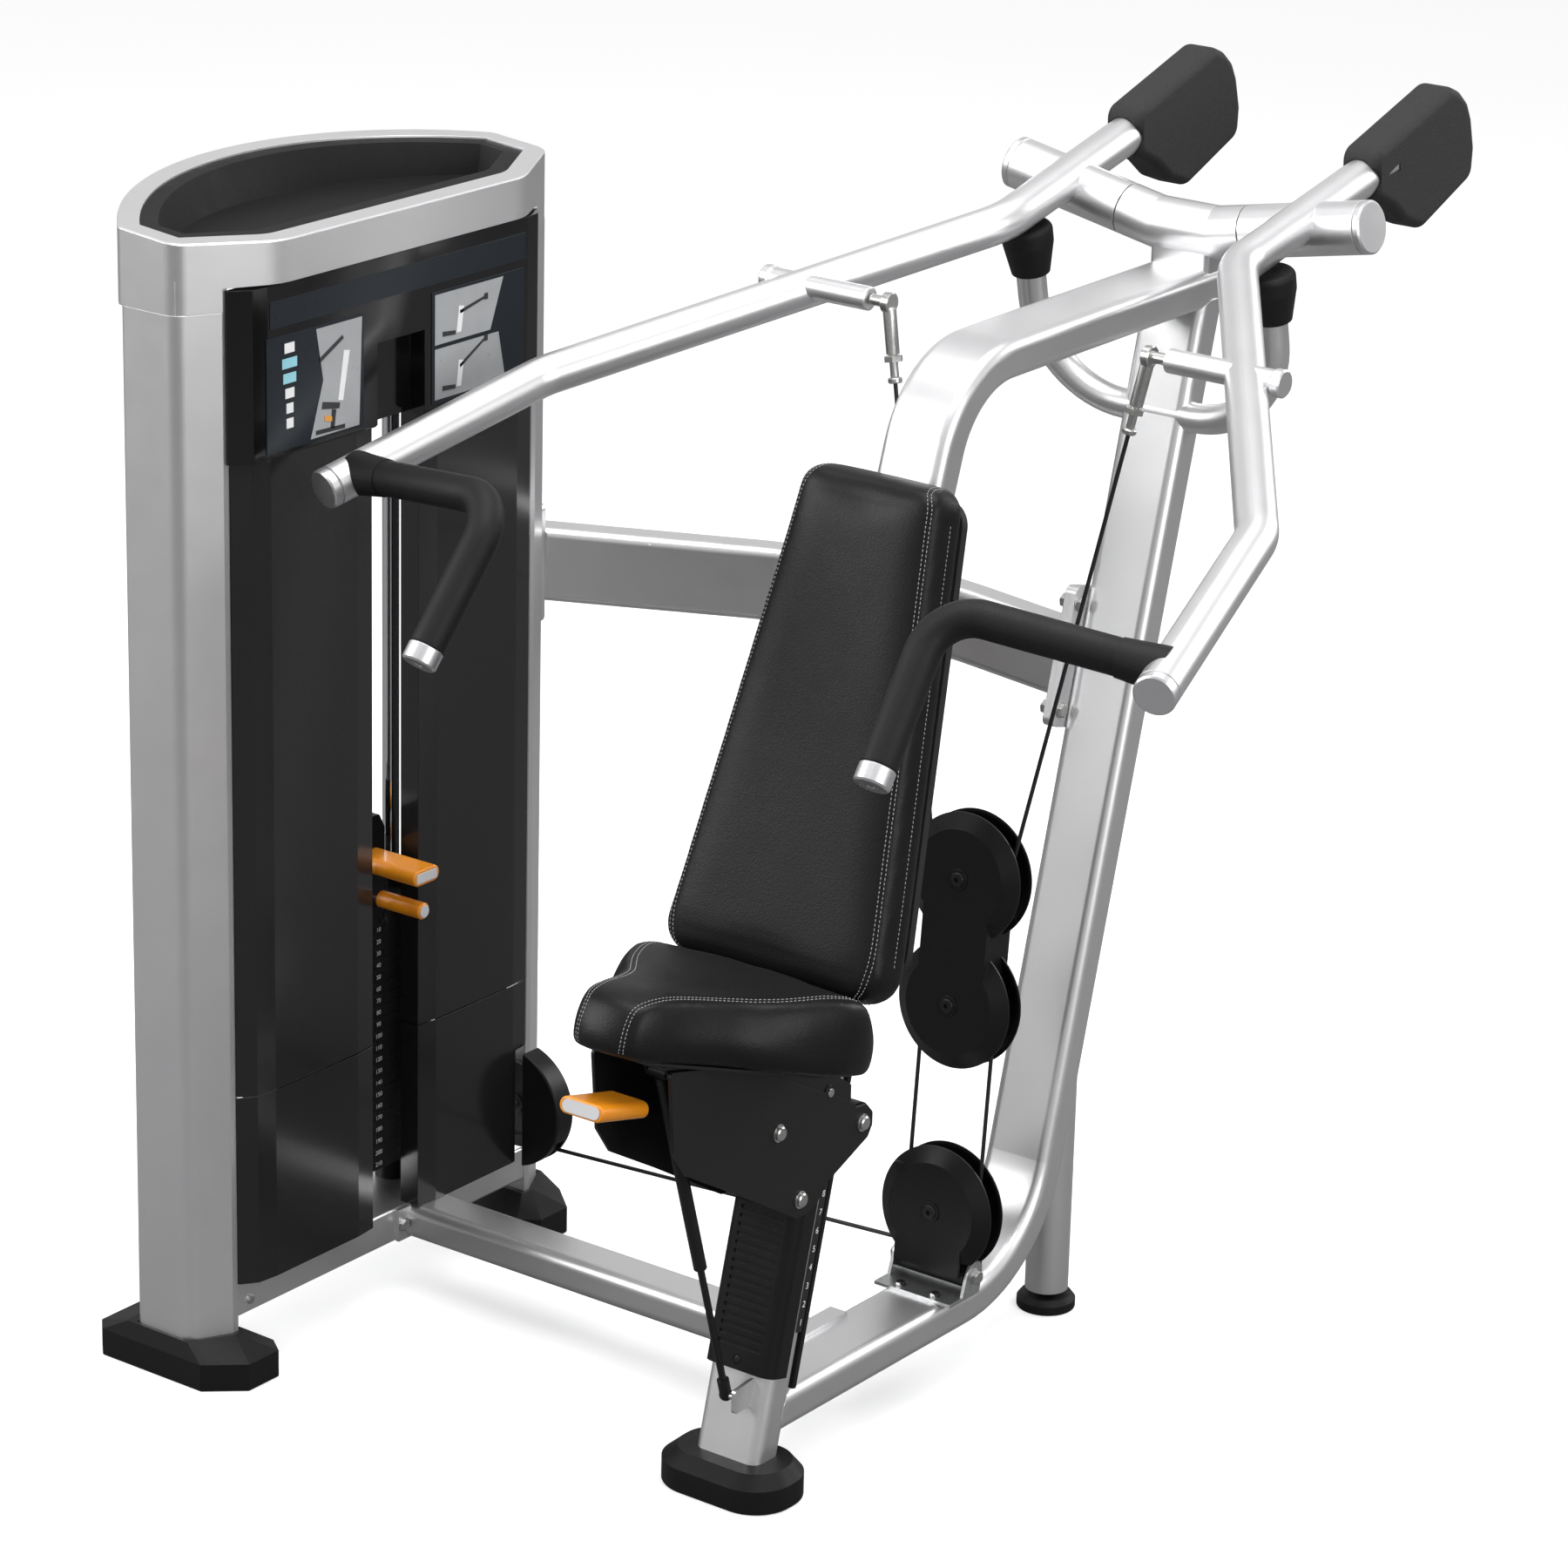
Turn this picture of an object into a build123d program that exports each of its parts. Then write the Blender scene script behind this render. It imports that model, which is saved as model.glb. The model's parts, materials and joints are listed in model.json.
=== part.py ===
from build123d import *
from math import acos, atan2, cos, radians, sin, sqrt
import os

# Converging shoulder press machine with a selectorized weight tower, in mm.
# +Z is up, the floor is z = 0 and x = 0 is the middle plane of the seat.
# The user faces -Y, so left is +X.  The tower stands at -X and its front faces +X.
# The origin is the centre of the underside of the rear levelling foot.

os.makedirs("parts", exist_ok=True)

# ---------------------------------------------------------------- driving dimensions
TUBE_W, TUBE_D, TUBE_R, WALL = 107.0, 56.0, 16.0, 3.0   # flat-oval frame tube
RAIL_Z = 109.0                 # centreline height of the base rail
RAIL_TOP = RAIL_Z + TUBE_D / 2
MAST_SLOPE = 0.2575            # mast and seat column lean back: dy per dz
MAST_Y0, MAST_Z0 = 66.0, 800.0  # a point on the mast centreline
MAST_TOP_Z = 1494.0
RAIL_FRONT_Y = -728.0
RAIL_BEND = 210.0
LEG_D, LEG_WALL = 64.0, 3.0
COL_Y0, COL_Z0 = -756.0, 50.0  # a point on the seat column centreline
COL_BOT_Z, COL_TOP_Z = 20.0, 806.0
ARM_D, ARM_WALL, ARM_BEND = 57.0, 3.0, 95.0
SLEEVE_D, SHAFT_D, BUSH_D = 76.0, 30.0, 44.0
HUB_HALF, HUB_Y, HUB_Z = 50.0, 249.0, 1587.6
HUB_TILT = 10.95               # tilt of each arm's pivot axis, degrees
STUB_D = 34.0
CABLE_D = 6.0
CABLE_R = CABLE_D / 2
PULLEY_R, COVER_R = 61.0, 94.0  # pitch radius of the pulleys, radius of their covers
WHEEL_W = 17.0
AXLE_R, RUN_CLEAR = 6.0, 0.05
BORE_R = AXLE_R + RUN_CLEAR
CARR_UP, CARR_LOW = 494.6, 309.0   # floating pulley centres above the bottom pulley
TOWER_Y = -610.0               # middle of the weight tower
PILLAR_TOP = 1558.6
STACK_X = -852.0               # middle of the weight stack
PLATE_N, PLATE_PITCH, PLATE_T = 21, 18.4, 17.8
PLATE_Z0 = 187.0               # underside of the lowest plate
ROD_HALF = 119.0               # guide rods either side of the stack middle
SEAT_TILT = 15.5

X_DIR = Vector(1, 0, 0)
COL_UP = Vector(0, MAST_SLOPE, 1).normalized()    # up along mast and column
COL_BACK = Vector(0, COL_UP.Z, -COL_UP.Y)         # square to it, pointing back
COL_BASE = Vector(0, COL_Y0, COL_Z0)


# ---------------------------------------------------------------- planes and places
def facing(origin, normal):
    """A sketch plane square to normal, with its local x along +X."""
    return Plane(origin=origin, x_dir=(1, 0, 0), z_dir=normal)


def side_plane(x, y=0.0, z=0.0):
    """A sketch plane facing +X: local x runs along +Y, local y along +Z."""
    return Plane(origin=(x, y, z), x_dir=(0, 1, 0), z_dir=(1, 0, 0))


PULL_UP = Vector(0, 0.0815, 1).normalized()       # the pulley plane leans back
BOTTOM_PULLEY = Vector(0, -280, 252)
PULL_PLANE = facing(BOTTOM_PULLEY, X_DIR.cross(PULL_UP))
PULL_FRONT = PULL_PLANE.z_dir


def mast_y(z):
    return MAST_Y0 + (z - MAST_Z0) * MAST_SLOPE


def column_y(z):
    return COL_Y0 + (z - COL_Z0) * MAST_SLOPE


def on_pull(x, up, front=0.0):
    """A point from the bottom pulley: x sideways, up the pulley plane, and to its front."""
    return BOTTOM_PULLEY + Vector(x, 0, 0) + PULL_UP * up + PULL_FRONT * front


def corners(sketch, x):
    """The vertices of a sketch that stand at x."""
    return [v for v in sketch.vertices() if abs(v.X - x) < 1]


# ---------------------------------------------------------------- saving and joining
def save(name, part):
    part.label = name
    export_step(part, f"parts/{name}.step")


def mirror_x(part):
    return mirror(part, about=Plane.YZ, mode=Mode.PRIVATE)


def fuse(*parts):
    with BuildPart() as joined:
        for part in parts:
            add(part)
    return joined.part


def save_pair(name, left):
    """Save the left piece and its mirror image."""
    save(f"{name}_left", left)
    save(f"{name}_right", fuse(mirror_x(left)))


# ---------------------------------------------------------------- shared shapes
def round_tube(points, radius, bend=0.0, wall=0.0):
    with BuildPart() as p:
        with BuildLine() as path:
            if bend:
                FilletPolyline(*points, radius=bend)
            else:
                Polyline(*points)
        with BuildSketch(Plane(origin=path.line @ 0, z_dir=path.line % 0)):
            Circle(radius)
            if wall:
                Circle(radius - wall, mode=Mode.SUBTRACT)
        sweep(path=path.line)
    return p.part


def oval_tube(points, bend=0.0, wall=0.0, width=TUBE_W, depth=TUBE_D, corner=TUBE_R,
              x_dir=(1, 0, 0)):
    with BuildPart() as p:
        with BuildLine() as path:
            if bend:
                FilletPolyline(*points, radius=bend)
            else:
                Polyline(*points)
        with BuildSketch(Plane(origin=path.line @ 0, x_dir=x_dir, z_dir=path.line % 0)):
            RectangleRounded(width, depth, corner)
            if wall:
                RectangleRounded(width - 2 * wall, depth - 2 * wall, corner - wall,
                                 mode=Mode.SUBTRACT)
        sweep(path=path.line)
    return p.part


def rod(start, end, radius, bore=0.0, edge=0.0):
    """A round bar, bored if bore is given, with its outer edges chamfered by edge."""
    start, end = Vector(start), Vector(end)
    with BuildPart() as p:
        with BuildSketch(Plane(origin=start, z_dir=end - start)):
            Circle(radius)
            if bore:
                Circle(bore, mode=Mode.SUBTRACT)
        extrude(amount=(end - start).length)
        if edge:
            chamfer(p.edges().filter_by(GeomType.CIRCLE).group_by(SortBy.RADIUS)[-1], edge)
    return p.part


def cross_rod(centre, x0, x1, radius, bore=0.0, edge=0.0):
    """A rod along X from x0 to x1, at the y and z of centre."""
    return rod((x0, centre.Y, centre.Z), (x1, centre.Y, centre.Z), radius, bore, edge)


def pull_rod(centre, front0, front1, radius):
    """A rod square to the pulley plane."""
    return rod(centre + PULL_FRONT * front0, centre + PULL_FRONT * front1, radius)


def upright(spot, z0, z1, radius, bore=0.0):
    return rod((*spot, z0), (*spot, z1), radius, bore)


def hex_bolt(head, tail, shank, across, head_h, nut_h=0.0, tip=3.0):
    """A hex bolt with a washer, from under its head to the tail, with a nut if nut_h is given."""
    head, tail = Vector(head), Vector(tail)
    along = (tail - head).normalized()
    with BuildPart() as p:
        with BuildSketch(Plane(origin=head, z_dir=-along)):
            RegularPolygon(across / 2, 6, major_radius=False)
        extrude(amount=head_h)
        chamfer(p.faces().sort_by(Axis(head, -along))[-1].edges(), head_h * 0.18)
        with BuildSketch(Plane(origin=head, z_dir=-along)):
            Circle(across * 0.62)
        extrude(amount=1.6)
        with BuildSketch(Plane(origin=head, z_dir=along)):
            Circle(shank / 2)
        extrude(amount=(tail - head).length + (nut_h + tip if nut_h else 0.0))
        if nut_h:
            with BuildSketch(Plane(origin=tail, z_dir=along)):
                RegularPolygon(across / 2, 6, major_radius=False)
            extrude(amount=nut_h)
    return p.part


def pulley(centre, axis, pitch_r=PULLEY_R):
    """A cable wheel with a V groove and recessed webs, turned about its axis."""
    axis = Vector(axis).normalized()
    side = X_DIR if abs(axis.X) < 0.9 else Vector(0, 1, 0)
    radial = (side - axis * side.dot(axis)).normalized()
    half, rim = WHEEL_W / 2, pitch_r + 6.5
    shoulder = pitch_r - CABLE_R + 1.0
    web_in, web_out = BORE_R + 9, pitch_r - 12
    with BuildPart() as p:
        with BuildSketch(Plane(origin=centre, x_dir=radial, z_dir=radial.cross(axis))):
            with BuildLine():
                Polyline((BORE_R, -half), (rim, -half), (rim, -half + 1.6), (shoulder, -2.6),
                         (pitch_r - CABLE_R - 0.7, 0), (shoulder, 2.6),
                         (rim, half - 1.6), (rim, half), (BORE_R, half), close=True)
            make_face()
            for s in (1, -1):
                with BuildLine():
                    Polyline((web_in, s * (half + 1)), (web_in, s * (half - 3.5)),
                             (web_out, s * (half - 3.5)), (web_out, s * (half + 1)), close=True)
                make_face(mode=Mode.SUBTRACT)
        revolve(axis=Axis(centre, axis))
    return p.part


# pulley covers: the rim stands RIM_GAP from the pulley plane, the flat DISH further out
RIM_GAP, DISH, COVER_BEVEL, COVER_SHEET = 13.0, 17.0, 22.0, 3.0
FLAT = RIM_GAP + DISH


def dish_cover(centre, normal):
    with BuildPart() as p:
        with BuildSketch(facing(centre, X_DIR.cross(normal))):
            with BuildLine():
                Polyline((0, FLAT - COVER_SHEET),
                         (COVER_R - COVER_BEVEL - 1.6, FLAT - COVER_SHEET),
                         (COVER_R - COVER_SHEET - 1.4, RIM_GAP), (COVER_R, RIM_GAP),
                         (COVER_R, RIM_GAP + 2.4), (COVER_R - COVER_BEVEL, FLAT), (0, FLAT),
                         close=True)
            make_face()
        revolve(axis=Axis(centre, normal))
    return p.part


def prism(points, x0, x1, fillets=0.0):
    """A plate cut to a (y, z) outline, standing between x0 and x1."""
    with BuildPart() as p:
        with BuildSketch(side_plane(x0)) as sk:
            with BuildLine():
                Polyline(*points, close=True)
            make_face()
            if fillets:
                fillet(sk.vertices(), fillets)
        extrude(amount=x1 - x0)
    return p.part


# ================================================================ FRAME
# column and neck as solid bodies, used to cut the pieces that meet them
COLUMN_PATH = [(0, column_y(z), z) for z in (COL_BOT_Z - 30, COL_TOP_Z + 30)]
column_body = oval_tube(COLUMN_PATH)

NECK_PATH = [(0, 276, 1508), (0, -355, 1500), (0, -480.2, 1120)]
NECK_BEND = 150.0
neck_body = oval_tube(NECK_PATH, NECK_BEND)

# base rail bent up into the mast
rail_mast = oval_tube([(0, RAIL_FRONT_Y, RAIL_Z), (0, mast_y(RAIL_Z), RAIL_Z),
                       (0, mast_y(MAST_TOP_Z), MAST_TOP_Z)], RAIL_BEND, WALL)

# round rear leg, mitred to the mast's middle plane, with a drilled plate in its foot
LEG_Z, LEG_PLATE_T = 30, 6
FOOT_SCREW_R = 8
with BuildPart() as leg:
    with BuildSketch(Plane.XY.offset(LEG_Z)):
        Circle(LEG_D / 2)
        Circle(LEG_D / 2 - LEG_WALL, mode=Mode.SUBTRACT)
    extrude(amount=720)
    split(bisect_by=Plane(origin=(0, mast_y(500), 500), z_dir=COL_BACK), keep=Keep.TOP)
    with BuildSketch(Plane.XY.offset(LEG_Z)):
        Circle(LEG_D / 2 - LEG_WALL)
    extrude(amount=LEG_PLATE_T)
    with BuildSketch(Plane.XY.offset(LEG_Z)):
        Circle(FOOT_SCREW_R + 0.2)
    extrude(amount=LEG_PLATE_T, mode=Mode.SUBTRACT)

# U-shaped tube that carries the arm stops, set through the mast
U_BOTTOM = Vector(0, 195, 1329)
U_UP = Vector(0, -0.22, 0.9755).normalized()
U_HALF, U_R, U_BEND, U_WALL = 203, 21.5, 145, 3
STOP_BASE, STOP_TOP = 182.0, 255.3    # foot and top of the rubber stops, up the legs
STOP_SOCKET = 16


def on_u_tube(x, up):
    return U_BOTTOM + Vector(x, 0, 0) + U_UP * up


U_LEG_TOP = STOP_BASE + STOP_SOCKET
u_tube = round_tube([on_u_tube(-U_HALF, U_LEG_TOP), on_u_tube(-U_HALF, 0),
                     on_u_tube(U_HALF, 0), on_u_tube(U_HALF, U_LEG_TOP)], U_R, U_BEND, U_WALL)

# lug plate for the upper cross arm, on the mast's tower side
LUG_Z, LUG_X = 969.0, -TUBE_W / 2 - 8
LUG_SIZE = (114, 206, 12)      # width, height, corner radius
LUG_BOLTS = [(-42, -78), (-42, 78), (42, -78), (42, 78)]
LUG_HOLE_R = 6.2
lug_plane = Plane(origin=(LUG_X, mast_y(LUG_Z), LUG_Z), x_dir=COL_BACK, z_dir=(1, 0, 0))
with BuildPart() as lug:
    with BuildSketch(lug_plane):
        RectangleRounded(*LUG_SIZE)
    extrude(amount=10)
    with BuildSketch(lug_plane):
        with Locations(*LUG_BOLTS):
            Circle(LUG_HOLE_R)
    extrude(amount=12, mode=Mode.SUBTRACT)

BRACKET_HOLES = [(-30, -334), (30, -334)]     # (x, y) of the bottom pulley bracket's screws
BRACKET_HOLE_R = 4.2
with BuildPart() as main_frame:
    add(rail_mast)
    add(leg.part)
    add(u_tube)
    add(lug.part)
    add(column_body, mode=Mode.SUBTRACT)
    add(neck_body, mode=Mode.SUBTRACT)
    with BuildSketch(Plane.XY.offset(RAIL_Z)):
        with Locations(*BRACKET_HOLES):
            Circle(BRACKET_HOLE_R)
    extrude(amount=60, mode=Mode.SUBTRACT)
save("main_frame", main_frame.part)

# seat column: leaning tube with the ball stud tab of the gas spring
BALL = Vector(0, -784, 146)
TAB_X0, TAB_X1 = 20, 26
TAB_OUTLINE = [(-798, 128), (-798, 162), (-748, 168), (-748, 128)]   # (y, z)
COL_PLATE_W, COL_PLATE_D, COL_PLATE_R, COL_PLATE_T = TUBE_W + 8, TUBE_D + 10, 12, 6
col_tube = oval_tube(COLUMN_PATH, wall=WALL)
stud_tab = prism(TAB_OUTLINE, TAB_X0, TAB_X1, 5)
with BuildPart() as seat_column:
    add(col_tube)
    split(bisect_by=Plane.XY.offset(COL_BOT_Z), keep=Keep.TOP)
    split(bisect_by=Plane.XY.offset(COL_TOP_Z), keep=Keep.BOTTOM)
    add(stud_tab)
    # foot plate inside the boot
    with BuildSketch(Plane.XY.offset(COL_BOT_Z)):
        with Locations((0, column_y(COL_BOT_Z))):
            RectangleRounded(COL_PLATE_W, COL_PLATE_D, COL_PLATE_R)
    extrude(amount=-COL_PLATE_T)
    # disc on the tab around the ball stud
    add(cross_rod(BALL, TAB_X0, TAB_X1, 12))
    # latch holes down the front face
    with BuildSketch(facing((0, column_y(360), 360), -COL_BACK)):
        with GridLocations(1, 30, 1, 7):
            Circle(6)
    extrude(amount=40, mode=Mode.SUBTRACT)
save("seat_column", seat_column.part)

# screw levelling foot under the rear leg
FOOT_R, FOOT_RIM_H = 43.5, 14
with BuildPart() as levelling_foot:
    with BuildSketch():
        Circle(FOOT_R)
    extrude(amount=FOOT_RIM_H)
    with BuildSketch(Plane.XY.offset(FOOT_RIM_H)):
        Circle(FOOT_R)
    extrude(amount=8, taper=38)
    fillet(levelling_foot.edges().filter_by(GeomType.CIRCLE).group_by(Axis.Z)[0], 2.5)
    with BuildSketch(Plane.XY.offset(20)):
        Circle(FOOT_SCREW_R)
    extrude(amount=62)
    with BuildSketch(Plane.XY.offset(22)):
        RegularPolygon(13, 6, major_radius=False)
    extrude(amount=8)
save("levelling_foot", levelling_foot.part)

# oval rubber boot at the front, with a pocket for the column
BOOT_Y, BOOT_RIM_Z, BOOT_TOP_Z = -765, 36, 52
BOOT_SIZE = (206, 132, 60)     # width, depth, corner radius
with BuildPart() as front_boot:
    with BuildSketch(Plane.XY):
        with Locations((0, BOOT_Y)):
            RectangleRounded(*BOOT_SIZE)
    extrude(amount=BOOT_RIM_Z)
    with BuildSketch(Plane.XY.offset(BOOT_RIM_Z)):
        with Locations((0, BOOT_Y)):
            RectangleRounded(*BOOT_SIZE)
    with BuildSketch(Plane.XY.offset(BOOT_TOP_Z)):
        with Locations((0, -760)):
            RectangleRounded(170, 100, 46)
    loft()
    fillet(front_boot.edges().group_by(Axis.Z)[0], 4)
    add(column_body, mode=Mode.SUBTRACT)
    with BuildSketch(Plane.XY.offset(COL_BOT_Z - COL_PLATE_T)):
        with Locations((0, column_y(COL_BOT_Z))):
            RectangleRounded(COL_PLATE_W + 0.4, COL_PLATE_D + 0.4, COL_PLATE_R)
    extrude(amount=COL_PLATE_T + 0.2, mode=Mode.SUBTRACT)
    with BuildSketch(Plane.XY):
        with Locations((0, BOOT_Y)):
            RectangleRounded(120, 60, 12)
    extrude(amount=4, mode=Mode.SUBTRACT)
save("front_boot", front_boot.part)

# back-pad neck, one bent tube over the mast head, closed at its rear end
with BuildPart() as gooseneck:
    add(oval_tube(NECK_PATH, NECK_BEND, WALL))
    with BuildSketch(facing(NECK_PATH[0], (0, -1, 0))):
        RectangleRounded(TUBE_W - 2, TUBE_D - 2, TUBE_R - 1)
    extrude(amount=4)
save("gooseneck", gooseneck.part)

# fixed yoke hub: straight tube, two angled collars and bearing shafts, block on the neck
PIVOT_DIR = Vector(cos(radians(HUB_TILT)), 0, sin(radians(HUB_TILT)))   # left arm's axis
PIVOT_START = Vector(HUB_HALF, HUB_Y, HUB_Z)
COLLAR_END = 52.7                      # distances along the pivot axis
SLEEVE_IN, SLEEVE_OUT = 54.7, 241.7    # sleeve from its inner face to the cap seam
HUB_BLOCK_Z = 1520


def hub_pt(along):
    return PIVOT_START + PIVOT_DIR * along


def hub_rod(along0, along1, radius, bore=0.0, edge=0.0):
    return rod(hub_pt(along0), hub_pt(along1), radius, bore, edge)


shaft = hub_rod(COLLAR_END - 6, SLEEVE_OUT - 3, SHAFT_D / 2)
hub_end = hub_pt(COLLAR_END)
with BuildPart() as yoke_hub:
    with BuildLine() as hub_line:
        Polyline((-hub_end.X, HUB_Y, hub_end.Z), (-HUB_HALF, HUB_Y, HUB_Z),
                 (HUB_HALF, HUB_Y, HUB_Z), (hub_end.X, HUB_Y, hub_end.Z))
    with BuildSketch(Plane(origin=hub_line.line @ 0, z_dir=hub_line.line % 0)):
        Circle(SLEEVE_D / 2)
    sweep(path=hub_line.line, transition=Transition.RIGHT)
    with BuildSketch(Plane.XY.offset(HUB_BLOCK_Z)):
        with Locations((0, HUB_Y - 2)):
            RectangleRounded(98, 44, 8)
    extrude(amount=HUB_Z - HUB_BLOCK_Z)
    add(shaft)
    add(mirror_x(shaft))
    add(neck_body, mode=Mode.SUBTRACT)
save("yoke_hub", yoke_hub.part)

# plain bearing bushes, two per sleeve, pressed on the shafts
BUSH_L = 34.0
bushes = [hub_rod(along, along + BUSH_L, BUSH_D / 2 - RUN_CLEAR, SHAFT_D / 2)
          for along in (SLEEVE_IN + 2, SLEEVE_OUT - 6 - BUSH_L)]
save("arm_bushes", fuse(*bushes, *[mirror_x(bush) for bush in bushes]))

# rubber arm stops capping the U tube
STOP_FOOT_R, STOP_R, STOP_FLARE = 28, 37, 46


def arm_stop(side):
    base = on_u_tube(side * U_HALF, STOP_BASE)
    flare = base + U_UP * STOP_FLARE
    with BuildPart() as p:
        with BuildSketch(facing(base, U_UP)):
            Circle(STOP_FOOT_R)
        with BuildSketch(facing(flare, U_UP)):
            Circle(STOP_R)
        loft()
        with BuildSketch(facing(flare, U_UP)):
            Circle(STOP_R)
        extrude(amount=STOP_TOP - STOP_BASE - STOP_FLARE)
        fillet(p.faces().sort_by(Axis(base, U_UP))[-1].edges(), 9)
        with BuildSketch(facing(base, U_UP)):
            Circle(U_R)
        extrude(amount=STOP_SOCKET, mode=Mode.SUBTRACT)
    return p.part


save("stop_bumpers", fuse(arm_stop(1), arm_stop(-1)))

# lower cross rail to the tower, with its flange on the base rail
CROSS_Y, CROSS_Z = -526.0, 110.0
CROSS_W, CROSS_H, CROSS_R = 78.0, 54.0, 16.0
RAIL_SIDE_X = -TUBE_W / 2
RAIL_FLANGE_T, BEAM_FLANGE_T = 8, 6
FLANGE_L = 132
BEAM_X0, BEAM_X1 = -802.0, -762.0     # back and front of the tower's base beam
BEAM_BOLT_OFFSETS = (-50, 50)
with BuildPart() as lower_cross_rail:
    with BuildSketch(side_plane(BEAM_X1 + BEAM_FLANGE_T, CROSS_Y, CROSS_Z)):
        RectangleRounded(CROSS_W, CROSS_H, CROSS_R)
        RectangleRounded(CROSS_W - 2 * WALL, CROSS_H - 2 * WALL, CROSS_R - WALL,
                         mode=Mode.SUBTRACT)
    extrude(amount=(RAIL_SIDE_X - RAIL_FLANGE_T) - (BEAM_X1 + BEAM_FLANGE_T))
    with BuildSketch(side_plane(RAIL_SIDE_X - RAIL_FLANGE_T, CROSS_Y, CROSS_Z)):
        RectangleRounded(FLANGE_L, CROSS_H, 8)
    extrude(amount=RAIL_FLANGE_T)
    # tongue over the top of the base rail
    with BuildSketch(Plane.XY.offset(RAIL_TOP)):
        with Locations((-47, CROSS_Y)):
            Rectangle(29, FLANGE_L)
    extrude(amount=6)
    with BuildSketch(side_plane(BEAM_X1, CROSS_Y, CROSS_Z)):
        Rectangle(118, 50)
    extrude(amount=BEAM_FLANGE_T)
    with BuildSketch(side_plane(BEAM_X1, CROSS_Y, CROSS_Z)):
        with Locations(*[(offset_y, 0) for offset_y in BEAM_BOLT_OFFSETS]):
            Circle(5.2)
    extrude(amount=BEAM_FLANGE_T, mode=Mode.SUBTRACT)
save("lower_cross_rail", lower_cross_rail.part)

# upper cross arm: tall tube bent in plan, rising slightly towards the tower
UPPER_RISE = radians(5.3)
UPPER_X0 = LUG_X - 8           # outer face of the flange on the lug
PILLAR_FACE_Y = TOWER_Y + 390  # rear face of the far pillar
PILLAR_FLANGE_X, PILLAR_FLANGE_Z = -842, 1035
PILLAR_FLANGE_T = 8
PILLAR_FLANGE_BOLTS = [(-30, -75), (30, -75), (-30, 75), (30, 75)]
upper_plane = Plane(origin=(UPPER_X0, 105, 963), x_dir=(-cos(UPPER_RISE), 0, sin(UPPER_RISE)),
                    z_dir=(sin(UPPER_RISE), 0, cos(UPPER_RISE)))
upper_path = [upper_plane.from_local_coords(Vector(*p))
              for p in ((0, 0, 0), (352, 0, 0), (800, 341, 0))]
with BuildPart() as upper_cross_arm:
    add(oval_tube(upper_path, bend=560, wall=WALL, width=51, depth=114, corner=13,
                  x_dir=(0, 1, 0)))
    split(bisect_by=Plane(origin=(0, PILLAR_FACE_Y + PILLAR_FLANGE_T, 0), z_dir=(0, 1, 0)),
          keep=Keep.TOP)
    with BuildSketch(Plane(origin=(UPPER_X0, mast_y(LUG_Z), LUG_Z), x_dir=COL_BACK,
                           z_dir=(1, 0, 0))):
        RectangleRounded(*LUG_SIZE)
        with Locations(*LUG_BOLTS):
            Circle(LUG_HOLE_R, mode=Mode.SUBTRACT)
    extrude(amount=8)
    with BuildSketch(facing((PILLAR_FLANGE_X, PILLAR_FACE_Y, PILLAR_FLANGE_Z), (0, 1, 0))):
        RectangleRounded(96, 182, 10)
        with Locations(*PILLAR_FLANGE_BOLTS):
            Circle(5.2, mode=Mode.SUBTRACT)
    extrude(amount=PILLAR_FLANGE_T)
save("upper_cross_arm", upper_cross_arm.part)

# ================================================================ SEAT COLUMN TRIM
# ribbed cover on the column front
COVER_FOOT, COVER_L = 120.0, 282.0    # along the column from COL_BASE
cover_base = COL_BASE + COL_UP * COVER_FOOT
cover_front = facing(cover_base + COL_BACK * (-TUBE_D / 2 - 11) + COL_UP * 140, COL_BACK)
with BuildPart() as column_cover:
    with BuildSketch(facing(cover_base, COL_UP)):     # local y points back
        with Locations((0, -8)):
            RectangleRounded(TUBE_W + 8, TUBE_D + 6, TUBE_R + 2)
        RectangleRounded(TUBE_W + 0.6, TUBE_D + 0.6, TUBE_R, mode=Mode.SUBTRACT)
        with Locations((0, 30)):
            Rectangle(TUBE_W + 20, 56, mode=Mode.SUBTRACT)
    extrude(amount=COVER_L)
    # grooves, then a round recess above and below them
    with BuildSketch(cover_front):
        with GridLocations(1, 12.5, 1, 18):
            SlotOverall(74, 5.4)
    extrude(amount=2.2, mode=Mode.SUBTRACT)
    with BuildSketch(cover_front):
        with Locations((0, -126), (0, 126)):
            Circle(7)
    extrude(amount=3.5, mode=Mode.SUBTRACT)
save("column_cover", column_cover.part)

# plastic running strips on the column's rear corners
STRIP_W, STRIP_T, STRIP_L = 20, 8, 491
with BuildPart() as column_guides:
    with BuildSketch(facing(COL_BASE + COL_UP * 100.5 + COL_BACK * (TUBE_D / 2), COL_UP)):
        with Locations((43.5, STRIP_T / 2), (-43.5, STRIP_T / 2)):
            Rectangle(STRIP_W, STRIP_T)
    extrude(amount=STRIP_L)
save("column_guides", column_guides.part)

# ================================================================ BACK PAD
PAD_TILT = radians(18.25)
PAD_BOTTOM = Vector(0, -719, 764)     # bottom of the front face
PAD_BACK = Vector(0, cos(PAD_TILT), -sin(PAD_TILT))
PAD_L, PAD_T = 655.0, 68
# both sketches below have their local y pointing down the pad
with BuildPart() as back_pad:
    with BuildSketch(facing(PAD_BOTTOM, PAD_BACK)):
        with BuildLine():
            Polyline((-119, -PAD_L - 9), (119, -PAD_L - 9), (190, 22), (-190, 22), close=True)
        make_face()
    extrude(amount=PAD_T)
    fillet(back_pad.edges().filter_by(Axis(PAD_BOTTOM, PAD_BACK)), 40)
    fillet(back_pad.faces().sort_by(Axis(PAD_BOTTOM, PAD_BACK))[0].edges(), 18)
save("back_pad", back_pad.part)

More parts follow.
